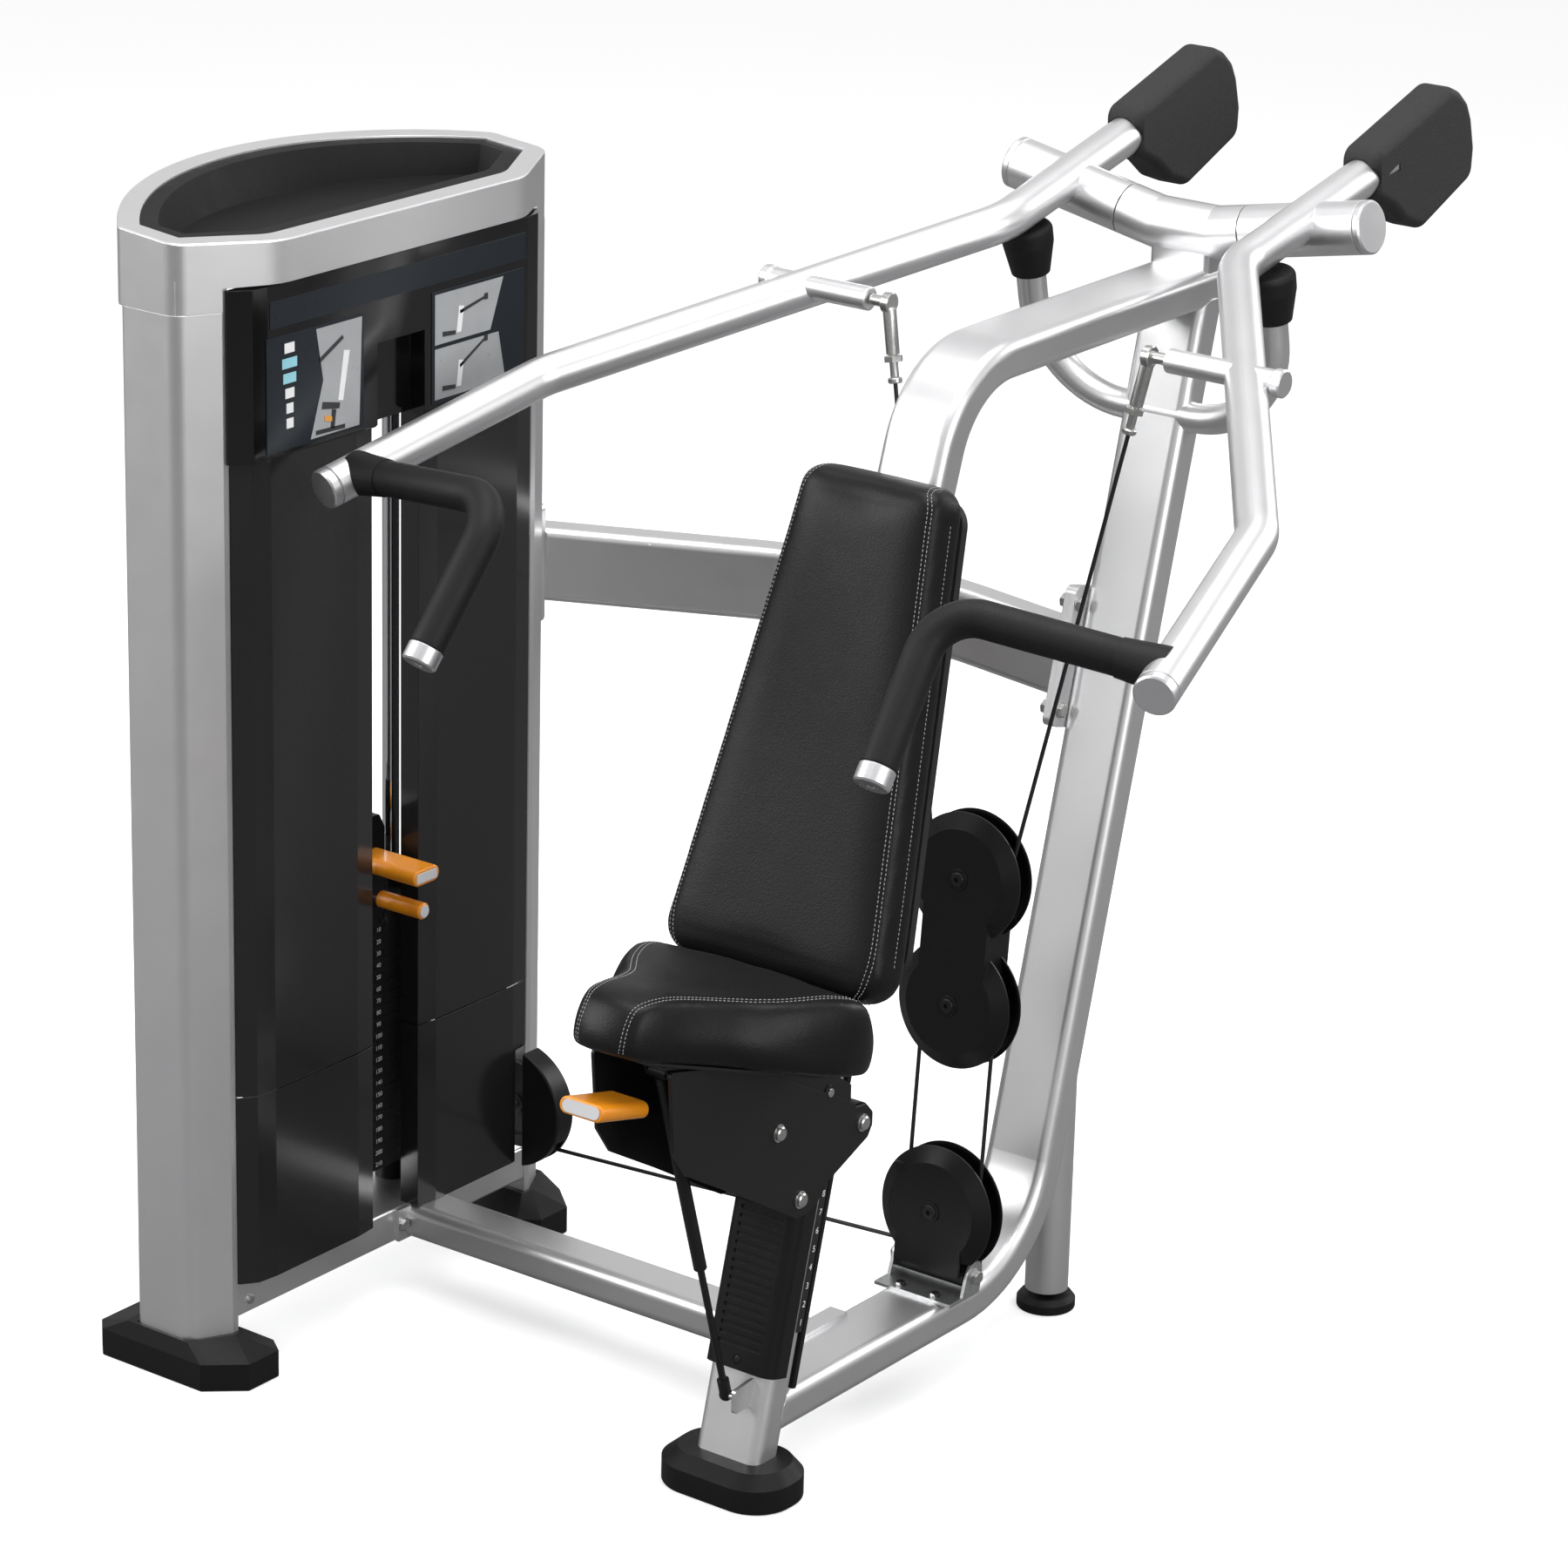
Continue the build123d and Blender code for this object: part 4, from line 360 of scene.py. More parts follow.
# ------------------------------------------------------------------ mesh helpers
def add_object(name, mesh, material, body=None):
    obj = bpy.data.objects.new(name, mesh)
    COLLECTION.objects.link(obj)
    mesh.materials.append(material)
    if body:
        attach(obj, body)
    return obj


def mesh_obj(name, verts, faces, material, body=None, slot=None, smooth=True):
    mesh = bpy.data.meshes.new(name)
    mesh.from_pydata([tuple(v) for v in verts], [], [tuple(f) for f in faces])
    mesh.validate()
    bm = bmesh.new()
    bm.from_mesh(mesh)
    bmesh.ops.recalc_face_normals(bm, faces=bm.faces)
    bm.to_mesh(mesh)
    bm.free()
    for face in mesh.polygons:
        face.use_smooth = smooth
    return add_object(name, mesh, material, body)


def quad_rows(rows, n, base=0):
    """Quads between neighbouring rings of n vertices."""
    return [(base + i * n + k, base + i * n + (k + 1) % n,
             base + (i + 1) * n + (k + 1) % n, base + (i + 1) * n + k)
            for i in range(rows - 1) for k in range(n)]


def prism(name, near, far, material, body, slot):
    """Flat-shaded solid between two equal outlines."""
    n = len(near)
    faces = [tuple(range(n)), tuple(range(n, 2 * n))] + quad_rows(2, n)
    return mesh_obj(name, near + far, faces, material, body, slot, smooth=False)


def yz_prism(name, outline, x_near, x_far, material, body, slot):
    near, far = ([(x, y, z) for y, z in outline] for x in (x_near, x_far))
    return prism(name, near, far, material, body, slot)


def loft(rings):
    """Closed mesh from equal rings, the first and last ending in a centre point."""
    n = len(rings[0])
    verts = [p for ring in rings for p in ring]
    faces = quad_rows(len(rings), n)
    for ring, i in ((rings[0], 0), (rings[-1], len(rings) - 1)):
        verts.append(sum(ring, Vector()) / n)
        faces += [(i * n + k, i * n + (k + 1) % n, len(verts) - 1) for k in range(n)]
    return verts, faces


def tubes(name, paths, radius, seg, material, body=None, slot=None):
    """Round capped tubes along point lists; radius is a number or a function of 0..1."""
    verts, faces = [], []
    for path in paths:
        points = [Vector(p) for p in path]
        base, last = len(verts), len(points) - 1
        up = None
        for i, p in enumerate(points):
            tangent = (points[min(i + 1, last)] - points[max(i - 1, 0)]).normalized()
            if up is None:
                up = tangent.orthogonal().normalized()
            up = (up - tangent * up.dot(tangent)).normalized()
            side = tangent.cross(up)
            r = radius(i / last) if callable(radius) else radius
            for k in range(seg):
                angle = 2 * math.pi * k / seg
                verts.append(p + up * (math.cos(angle) * r) + side * (math.sin(angle) * r))
        faces += quad_rows(len(points), seg, base)
        faces.append(tuple(base + k for k in range(seg)))
        faces.append(tuple(base + last * seg + k for k in range(seg)))
    return mesh_obj(name, verts, faces, material, body, slot)


def box(name, low, high, material, body, radius=0.0, seg=1):
    """Box between two corners, its edges rounded when a radius is given."""
    low, high = Vector(low), Vector(high)
    bm = bmesh.new()
    bmesh.ops.create_cube(bm, size=1.0)
    for v in bm.verts:
        v.co = Vector([(a + b) / 2 + c * (b - a) for a, b, c in zip(low, high, v.co)])
    if radius:
        bmesh.ops.bevel(bm, geom=bm.edges[:], offset=radius, segments=seg, profile=0.5,
                        affect="EDGES")
    mesh = bpy.data.meshes.new(name)
    bm.to_mesh(mesh)
    bm.free()
    return add_object(name, mesh, material, body)


def disc(name, centre, axis, radius, height, material, body, slot, seg=40, dome=0.0):
    """Screw head or button standing on centre along axis."""
    axis = Vector(axis).normalized()
    across = axis.orthogonal().normalized()
    side = axis.cross(across)
    profile = [(0.0, 0.0), (radius, 0.0), (radius, height * 0.6), (radius * 0.93, height),
               (radius * 0.5, height + dome * 0.7), (0.0001, height + dome)]
    verts = []
    for r, rise in profile:
        r = max(r, 1e-5)
        for k in range(seg):
            angle = 2 * math.pi * k / seg
            verts.append(Vector(centre) + axis * rise + across * (r * math.cos(angle))
                         + side * (r * math.sin(angle)))
    faces = quad_rows(len(profile), seg)
    return mesh_obj(name, verts, faces, material, body, slot, smooth=False)


def smooth_path(points, steps):
    """Catmull-Rom curve through the points."""
    points = [Vector(p) for p in points]
    last = len(points) - 1
    curve = []
    for i in range(last):
        p0, p1, p2, p3 = (points[max(i - 1, 0)], points[i], points[i + 1],
                          points[min(i + 2, last)])
        for k in range(steps):
            t = k / steps
            curve.append(0.5 * ((2 * p1) + (p2 - p0) * t
                                + (2 * p0 - 5 * p1 + 4 * p2 - p3) * t * t
                                + (3 * p1 - p0 - 3 * p2 + p3) * t ** 3))
    curve.append(points[-1])
    return curve


# ------------------------------------------------------------------ upholstery
PIN_FADE = 0.012             # distance over which the cloth pinning fades out
CLOTH_FRAMES = 20
EASE_PASSES = 30             # smoothing passes over the cloth's movement
STITCH_PITCH = 0.0062
STITCH_LENGTH = 0.0042
STITCH_LIFT = 0.0002
STITCH_RADIUS = 0.00062


def apply_modifier(obj, modifier):
    bpy.context.view_layer.objects.active = obj
    bpy.ops.object.modifier_apply(modifier=modifier.name)


def subdivide(obj):
    modifier = obj.modifiers.new("sub", "SUBSURF")
    modifier.levels = modifier.render_levels = 1
    apply_modifier(obj, modifier)
    for face in obj.data.polygons:
        face.use_smooth = True


def add_cloth(obj):
    cloth = obj.modifiers.new("cloth", "CLOTH")
    settings = cloth.settings
    settings.quality = 5
    settings.mass = 0.3
    settings.tension_stiffness = settings.compression_stiffness = 25
    settings.shear_stiffness = 10
    settings.bending_stiffness = 1.5
    settings.use_pressure = True
    settings.uniform_pressure_force = 3.0
    settings.effector_weights.gravity = 0
    settings.vertex_group_mass = "pin"
    settings.pin_stiffness = 1.0
    cloth.collision_settings.use_collision = False
    cloth.point_cache.frame_start, cloth.point_cache.frame_end = 1, CLOTH_FRAMES
    return cloth


def inflate(obj, pin_distance, most_move, voxel):
    """Voxel remesh, then a pressurised cloth pass; returns the vertex places.

    pin_distance gives how far a point lies past the pinned base; most_move caps the movement.
    """
    for other in bpy.context.selected_objects:
        other.select_set(False)
    obj.select_set(True)
    remesh = obj.modifiers.new("remesh", "REMESH")
    remesh.mode = "VOXEL"
    remesh.voxel_size = voxel
    remesh.use_smooth_shade = True
    apply_modifier(obj, remesh)
    ease = obj.modifiers.new("ease", "SMOOTH")
    ease.factor, ease.iterations = 0.5, 4
    apply_modifier(obj, ease)
    rest = np.array([v.co[:] for v in obj.data.vertices])

    pins = obj.vertex_groups.new(name="pin")
    for i, place in enumerate(rest):
        weight = 1 - pin_distance(Vector(place)) / PIN_FADE
        if weight > 0:
            pins.add([i], min(1.0, weight), "REPLACE")
    cloth = add_cloth(obj)
    for frame in range(1, CLOTH_FRAMES + 1):
        bpy.context.scene.frame_set(frame)
    evaluated = obj.evaluated_get(bpy.context.evaluated_depsgraph_get())
    moved = np.array([v.co[:] for v in evaluated.data.vertices])
    obj.modifiers.remove(cloth)
    bpy.context.scene.frame_set(1)

    move = moved - rest
    length = np.linalg.norm(move, axis=1, keepdims=True)
    move = np.nan_to_num(move * np.minimum(1.0, most_move / np.maximum(length, 1e-9)))
    # ease the movement towards the mean of each vertex's neighbours
    edges = np.zeros(len(obj.data.edges) * 2, np.int32)
    obj.data.edges.foreach_get("vertices", edges)
    edges = edges.reshape(-1, 2)
    neighbours = np.maximum(np.bincount(edges.ravel(), minlength=len(rest)), 1)[:, None]
    for _ in range(EASE_PASSES):
        total = np.zeros_like(move)
        np.add.at(total, edges[:, 0], move[edges[:, 1]])
        np.add.at(total, edges[:, 1], move[edges[:, 0]])
        move = 0.35 * move + 0.65 * total / neighbours
    return rest + move


def groove(places, normals, path, depth, width):
    """Presses a sewn seam into the surface along a path."""
    path = np.array([p[:] for p in path])
    distance = np.full(len(places), 1e9)
    for start, end in zip(path[:-1], path[1:]):
        run = end - start
        t = np.clip(((places - start) @ run) / max(run @ run, 1e-12), 0, 1)
        gap = np.linalg.norm(places - (start + t[:, None] * run), axis=1)
        distance = np.minimum(distance, gap)
    return places - normals * (depth * np.exp(-(distance / width) ** 2))[:, None]


def set_places(obj, places):
    obj.data.vertices.foreach_set("co", places.astype(np.float32).ravel())
    obj.data.update()


def normals_of(obj):
    flat = np.zeros(len(obj.data.vertices) * 3, np.float32)
    obj.data.vertices.foreach_get("normal", flat)
    return flat.reshape(-1, 3).astype(float)


def surface_tree(obj):
    bm = bmesh.new()
    bm.from_mesh(obj.data)
    tree = BVHTree.FromBMesh(bm)
    bm.free()
    return tree


def stitch_run(tree, path, sink):
    """Centre lines of short arched threads on the surface; sink sets the arch's height."""
    legs, total = [], 0.0
    for p, q in zip(path[:-1], path[1:]):
        legs.append((total, p, q))
        total += (q - p).length

    def at(s):
        start, p, q = next(leg for leg in reversed(legs) if s >= leg[0])
        return p + (q - p) * min(1.0, (s - start) / max((q - p).length, 1e-9))

    threads = []
    s = 0.0
    while s + STITCH_LENGTH < total:
        on_surface = []
        for along, arch in ((s, -0.15), (s + STITCH_LENGTH / 2, 1.0),
                            (s + STITCH_LENGTH, -0.15)):
            place, normal, _, _ = tree.find_nearest(at(along))
            on_surface.append(place + normal * (STITCH_LIFT + sink * 0.5 * arch))
        first, middle, last = on_surface
        bow = (middle - (first + last) / 2) * 0.3
        threads.append([first, first.lerp(middle, 0.45) + bow, middle,
                        last.lerp(middle, 0.45) + bow, last])
        s += STITCH_PITCH
    return threads


def upholster(part, node, body, rings, pin_distance, most_move, voxel, grooves, seams):
    """Pad from lofted rings. grooves: (path, depth, width); seams: (path, thread sink)."""
    pad = mesh_obj(part + "_upholstery", *loft(rings), vinyl)
    subdivide(pad)
    places = inflate(pad, pin_distance, most_move, voxel)
    set_places(pad, places)
    normals = normals_of(pad)
    for path, depth, width in grooves:
        places = groove(places, normals, path, depth, width)
    set_places(pad, places)
    subdivide(pad)
    tree = surface_tree(pad)
    threads = [t for path, sink in seams for t in stitch_run(tree, path, sink)]
    tubes(part + "_stitching", threads,
          lambda t: STITCH_RADIUS * math.sqrt(max(0.12, 1 - (2 * t - 1) ** 2)),
          6, thread, body, "upholstery")
    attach(pad, body)
    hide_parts(node)


# seat pad -----------------------------------------------------------------
# Seat frame: x across, b from the nose to the rear, u up out of the tilted base.
tilt = math.radians(SEAT_TILT_DEG)
SEAT_ORIGIN = Vector((0, -1.050, 0.730))
SEAT_BACK = Vector((0, math.cos(tilt), -math.sin(tilt)))
SEAT_UP = Vector((0, math.sin(tilt), math.cos(tilt)))
SEAT_CENTRE_B = 0.19         # centre that the rings shrink to
# b, half width of the seat
SEAT_HALF_WIDTHS = [
    (-0.030, 0.034), (-0.020, 0.050), (0.0, 0.061), (0.020, 0.069), (0.042, 0.077),
    (0.077, 0.091), (0.125, 0.113), (0.164, 0.140), (0.209, 0.165), (0.258, 0.184),
    (0.285, 0.189), (0.315, 0.188), (0.340, 0.178), (0.356, 0.158), (0.365, 0.125),
    (0.368, 0.060)]
# b, top height along the side lobes
SEAT_SIDE_TOP = [
    (-0.032, 0.060), (-0.02, 0.071), (0.0, 0.079), (0.04, 0.083), (0.08, 0.085),
    (0.125, 0.088), (0.16, 0.092), (0.205, 0.098), (0.25, 0.104), (0.29, 0.105),
    (0.306, 0.101), (0.322, 0.085), (0.340, 0.072), (0.368, 0.055)]
# b, top height along the centre line
SEAT_MIDDLE_TOP = [
    (-0.035, 0.058), (-0.02, 0.074), (0.0, 0.084), (0.03, 0.087), (0.07, 0.083),
    (0.12, 0.080), (0.17, 0.084), (0.21, 0.095), (0.25, 0.108), (0.285, 0.118),
    (0.302, 0.116), (0.316, 0.090), (0.335, 0.072), (0.369, 0.052)]
# x, b, u of the seam down the nose and back along the top edge
SEAT_SEAM = [
    (0.043, -0.034, 0.004), (0.0435, -0.035, 0.025), (0.0435, -0.034, 0.048),
    (0.0435, -0.029, 0.064), (0.0445, -0.018, 0.0745), (0.0475, 0.002, 0.0795),
    (0.052, 0.032, 0.082), (0.060, 0.065, 0.084), (0.072, 0.100, 0.086),
    (0.088, 0.133, 0.089), (0.107, 0.160, 0.092), (0.127, 0.190, 0.0955),
    (0.144, 0.225, 0.099), (0.157, 0.262, 0.101), (0.164, 0.290, 0.100),
    (0.166, 0.308, 0.096), (0.164, 0.326, 0.084)]


def seat_point(x, b, u):
    return SEAT_ORIGIN + Vector((x, 0, 0)) + SEAT_BACK * b + SEAT_UP * u


def seat_outline():
    """Loop of (x, b): the +x half from nose to rear, then its mirror."""
    curve = smooth_path([(width, b, 0) for b, width in SEAT_HALF_WIDTHS], 5)
    half = [(0.0, -0.035), (0.018, -0.0345)] + [(p.x, p.y) for p in curve] + [(0.0, 0.369)]
    return half + [(-x, b) for x, b in reversed(half[1:-1])]


def seat_top(x, b):
    """Height of the seat's top, blended from the centre line out to the side lobes."""
    width, side, middle = (np.interp(b, *zip(*table)) for table in
                           (SEAT_HALF_WIDTHS, SEAT_SIDE_TOP, SEAT_MIDDLE_TOP))
    outward = min(1.0, abs(x) / max(width - 0.020, 0.01))
    return float(middle + (side - middle) * outward ** 2.0)


def flat(height):
    return lambda x, b: height


def wall(fraction):
    return lambda x, b: fraction * (seat_top(x, b) - 0.012)


def crown(drop=0.0):
    return lambda x, b: seat_top(x, b) - drop


def seat_ring(scale, inset, height):
    ring = []
    for x, b in SEAT_LOOP:
        from_centre = b - SEAT_CENTRE_B
        length = math.hypot(x, from_centre)
        shrink = (length - inset) / length * scale
        ring_x, ring_b = x * shrink, SEAT_CENTRE_B + from_centre * shrink
        ring.append(seat_point(ring_x, ring_b, height(ring_x, ring_b)))
    return ring


def seat_seam(sign, inward):
    """Seam on one side; inward moves it towards the centre plane, and back on the top."""
    return smooth_path([seat_point(sign * (x - inward),
                                   b + (inward * 0.5 if b > -0.02 else 0), u)
                        for x, b, u in SEAT_SEAM], 6)


SEAT_LOOP = seat_outline()
# scale, inset, height rule: base, wall, rounded edge, top
SEAT_RINGS = [
    (0.25, 0.0, flat(0.001)), (0.6, 0.0, flat(0.001)), (1.0, 0.012, flat(0.001)),
    (1.0, 0.004, wall(0.08)), (1.0, 0.001, wall(0.24)), (1.0, 0.0, wall(0.5)),
    (1.0, 0.001, wall(0.76)), (1.0, 0.005, wall(0.97)),
    (1.0, 0.011, crown(0.0035)), (1.0, 0.018, crown(0.0005)),
    (0.82, 0.010, crown()), (0.66, 0.004, crown()), (0.5, 0.0, crown()),
    (0.34, 0.0, crown()), (0.18, 0.0, crown()), (0.06, 0.0, crown())]
upholster("seat", "seat_pad", "seat", [seat_ring(*row) for row in SEAT_RINGS],
          pin_distance=lambda p: (p - SEAT_ORIGIN).dot(SEAT_UP) - 0.010,
          most_move=0.0055, voxel=0.005,
          grooves=[(seat_seam(sign, 0.003), 0.0016, 0.0035) for sign in (1, -1)],
          seams=[(seat_seam(sign, inward), 0.00055)
                 for sign in (1, -1) for inward in (0.0, 0.0065)])

# thin board under the seat
BOARD_RINGS = [(0.3, 0.0, flat(-0.0004)), (1.0, 0.030, flat(-0.0004)),
               (1.0, 0.026, flat(0.003)), (0.3, 0.0, flat(0.0035))]
mesh_obj("seat_board", *loft([seat_ring(*row) for row in BOARD_RINGS]), board_plastic,
         "seat", "board", smooth=False)

# back pad -----------------------------------------------------------------
# Pad frame: x across, v up the leaning pad, d from its front face to the rear.
lean = math.radians(18.25)
PAD_ORIGIN = Vector((0, -0.719, 0.764))
PAD_UP = Vector((0, math.sin(lean), math.cos(lean)))
PAD_REAR = Vector((0, math.cos(lean), -math.sin(lean)))
PAD_LOW, PAD_HIGH = -0.030, 0.662                  # v of the two ends
PAD_LOW_HALF, PAD_HIGH_HALF = 0.190, 0.1180        # half widths there
PAD_LOW_RADIUS, PAD_HIGH_RADIUS = 0.046, 0.034     # corner radii there
CORNER_STEPS, EDGE_STEPS = 7, 12
# inset from the outline, depth d: from the rear face round to the front
PAD_RINGS = [(0.10, 0.068), (0.03, 0.068), (0.008, 0.067), (0.002, 0.061), (0.0, 0.046),
             (0.0005, 0.030), (0.002, 0.018), (0.0055, 0.009), (0.012, 0.0032),
             (0.022, 0.001), (0.045, 0.0005), (0.08, 0.0005)]
# v where the half width is read, distance inward of it, v, d: seam from bottom to top
PAD_SEAM = [
    (PAD_LOW, 0.040, PAD_LOW - 0.001, 0.045), (PAD_LOW, 0.040, PAD_LOW - 0.001, 0.024),
    (PAD_LOW, 0.037, PAD_LOW + 0.006, 0.007), (PAD_LOW, 0.028, PAD_LOW + 0.020, 0.001),
    (0.02, 0.017, 0.022, 0.001), (0.045, 0.0135, 0.048, 0.001),
    *((v, 0.0125, v, 0.001) for v in (0.08, 0.16, 0.26, 0.36, 0.46, 0.56, 0.60)),
    (0.63, 0.0135, 0.630, 0.002), (PAD_HIGH, 0.019, PAD_HIGH - 0.009, 0.006),
    (PAD_HIGH, 0.024, PAD_HIGH - 0.001, 0.022), (PAD_HIGH, 0.025, PAD_HIGH, 0.045)]


def pad_point(x, v, d):
    return PAD_ORIGIN + Vector((x, 0, 0)) + PAD_UP * v + PAD_REAR * d


def pad_half_width(v):
    return PAD_LOW_HALF + (PAD_HIGH_HALF - PAD_LOW_HALF) * (v - PAD_LOW) / (PAD_HIGH - PAD_LOW)


def trapezoid_loop(inset, low_radius, high_radius):
    """Rounded trapezoid loop of (x, v), counter-clockwise, inset from the full outline."""
    low, high = PAD_LOW + inset, PAD_HIGH - inset
    wide, narrow = PAD_LOW_HALF - inset, PAD_HIGH_HALF - inset
    corners = [Vector((wide, low)), Vector((narrow, high)),
               Vector((-narrow, high)), Vector((-wide, low))]
    radii = [low_radius, high_radius, high_radius, low_radius]

    def corner_arc(i):
        """Start, centre and end of the arc at a corner."""
        corner, radius = corners[i], radii[i]
        before = (corners[i - 1] - corner).normalized()
        after = (corners[(i + 1) % 4] - corner).normalized()
        angle = before.angle(after)
        reach = radius / math.tan(angle / 2)
        centre = corner + (before + after).normalized() * (radius / math.sin(angle / 2))
        return corner + before * reach, centre, corner + after * reach

    points = []
    for i in range(4):
        start, centre, end = corner_arc(i)
        start_angle = math.atan2(*(start - centre).yx)
        end_angle = math.atan2(*(end - centre).yx)
        sweep = (end_angle - start_angle + math.pi) % (2 * math.pi) - math.pi
        for k in range(CORNER_STEPS + 1):
            angle = start_angle + sweep * k / CORNER_STEPS
            points.append(Vector((centre.x + radii[i] * math.cos(angle),
                                  centre.y + radii[i] * math.sin(angle))))
        next_start = corner_arc((i + 1) % 4)[0]
        points += [end.lerp(next_start, k / EDGE_STEPS) for k in range(1, EDGE_STEPS)]
    return points


def pad_ring(inset, depth):
    loop = trapezoid_loop(inset, max(PAD_LOW_RADIUS - inset * 0.7, 0.012),
                          max(PAD_HIGH_RADIUS - inset * 0.7, 0.010))
    return [pad_point(p.x, p.y, depth) for p in loop]


def front_seam(sign, inward):
    """Seam near the front edge, going over the top and under the bottom."""
    return smooth_path([pad_point(sign * (pad_half_width(at) - from_edge - inward), v, d)
                        for at, from_edge, v, d in PAD_SEAM], 6)


def side_seam(sign):
    return smooth_path([pad_point(sign * (pad_half_width(v) - 0.001), v, 0.036)
                        for v in (0.03, 0.15, 0.3, 0.45, 0.56, 0.62)], 8)


grooves, seams = [], []
for sign in (1, -1):
    grooves += [(front_seam(sign, 0.0035), 0.0015, 0.0035), (side_seam(sign), 0.0012, 0.003)]
    seams += [(front_seam(sign, 0.0), 0.00055), (front_seam(sign, 0.007), 0.00055),
              (side_seam(sign), 0.0004)]
upholster("back", "back_pad", "frame", [pad_ring(*row) for row in PAD_RINGS],
          pin_distance=lambda p: 0.058 - (p - PAD_ORIGIN).dot(PAD_REAR),
          most_move=0.005, voxel=0.006, grooves=grooves, seams=seams)

# ------------------------------------------------------------------ cables
# Pulley plane: x across, v up the slightly leaning plane, n out of it to the front.
PULLEY_UP = Vector((0, 0.0815, 1)).normalized()
PULLEY_FRONT = X_AXIS.cross(PULLEY_UP)
PULLEY_ORIGIN = Vector((0, -0.280, 0.252))         # centre of the bottom pulley
UPPER_V, LOWER_V = 0.4946, 0.309                   # centres of the carriage's pulleys
WRAP_RADIUS = 0.061                                # cable centre line on a pulley
CABLE_RADIUS = 0.003
BASE_WHEEL = Vector((-0.7545, -0.313, 0.221))      # centre of the tower's base pulley
PRESS_END_X, PRESS_END_Z = 0.215, 1.521            # where the press loop's ends aim


def pulley_point(x, v, n=0.0):
    return PULLEY_ORIGIN + Vector((x, 0, 0)) + PULLEY_UP * v + PULLEY_FRONT * n


def line(start, end, steps):
    return [start.lerp(end, i / steps) for i in range(steps + 1)]


def wrap(v, start, end, steps=28):
    """Arc round the pulley at height v."""
    angles = [start + (end - start) * i / steps for i in range(steps + 1)]
    return [pulley_point(0, v) + X_AXIS * (WRAP_RADIUS * math.cos(a))
            + PULLEY_UP * (WRAP_RADIUS * math.sin(a)) for a in angles]


def cable(name, paths, body=None, slot=None):
    return tubes(name, paths, CABLE_RADIUS, 10, cable_coat, body, slot)


def flexing_cable(node, paths):
    """Cable that stretches between two bodies and stands in for a CAD node."""
    obj = cable(node + "_flex", paths)
    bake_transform(obj)
    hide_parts(node)


flexing_cable("weight_cable_falls",
              [line(pulley_point(x, v), pulley_point(x, LOWER_V), 40)
               for x, v in ((WRAP_RADIUS, 0.0), (-WRAP_RADIUS, 0.051))])
low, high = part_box("stack_cable")
x, y = (low.x + high.x) / 2, (low.y + high.y) / 2
flexing_cable("stack_cable", [line(Vector((x, y, low.z)), Vector((x, y, high.z)), 60)])

QUARTER = math.pi / 2
floor_run = wrap(0, 0, -QUARTER)
floor_run += line(pulley_point(0, -WRAP_RADIUS),
                  BASE_WHEEL + Vector((0, 0, -WRAP_RADIUS)), 30)[1:]
for i in range(1, 21):
    angle = -QUARTER - QUARTER * i / 20
    floor_run.append(BASE_WHEEL + Vector((WRAP_RADIUS * math.cos(angle), 0,
                                          WRAP_RADIUS * math.sin(angle))))
cable("weight_cable_floor_run", [floor_run], "frame", "cable_black")

# dark strip behind the seam of each shroud
for side, y_low, y_high in (("right", TOWER_Y - 0.252, TOWER_Y - 0.090),
                            ("left", TOWER_Y + 0.090, TOWER_Y + 0.252)):
    box("shroud_seam_strip_" + side, (-0.7435, y_low, 0.415), (-0.7405, y_high, 0.433),
        smoked, "frame", radius=0.001, seg=2)

# the press cable leaves its pulley on the tangents to its two end points
rise = (PRESS_END_Z - PULLEY_ORIGIN.z) / PULLEY_UP.z - UPPER_V
tangent_angle = (math.atan2(rise, PRESS_END_X)
                 - math.acos(WRAP_RADIUS / math.hypot(PRESS_END_X, rise)))
cable("press_cable_loop", [wrap(UPPER_V, tangent_angle, -math.pi - tangent_angle)],
      "carriage", "cable_black")
cable("weight_cable_loop", [wrap(LOWER_V, 0, math.pi)], "carriage", "cable_black")

# ------------------------------------------------------------------ tower header
HEADER_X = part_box("header_panel")[1].x             # front face of the header
PRINT_X = HEADER_X + 0.0012                        # back of the lowest prints
PRINT_THICK = 0.0003
OVER, TOP = 0.0005, 0.0006                         # steps of the prints laid over others


def placard(name, y_low, y_high, z_low, z_high, thick):
    box(name, (HEADER_X - 0.0004, y_low, z_low), (HEADER_X + thick, y_high, z_high),
        navy, "frame")


def raised_print(name, outline, material, step=0.0):
    yz_prism(name, outline, PRINT_X + step, PRINT_X + step + PRINT_THICK, material,
             "frame", "header_black")


def rectangle(y_low, y_high, z_low, z_high):
    return [(y_low, z_low), (y_high, z_low), (y_high, z_high), (y_low, z_high)]


placard("title_strip", -0.880, -0.342, 1.528, 1.566, thick=0.0008)
placard("placard_left", -0.888, -0.690, 1.356, 1.516, thick=0.001)
placard("placard_right", -0.546, -0.346, 1.356, 1.516, thick=0.001)

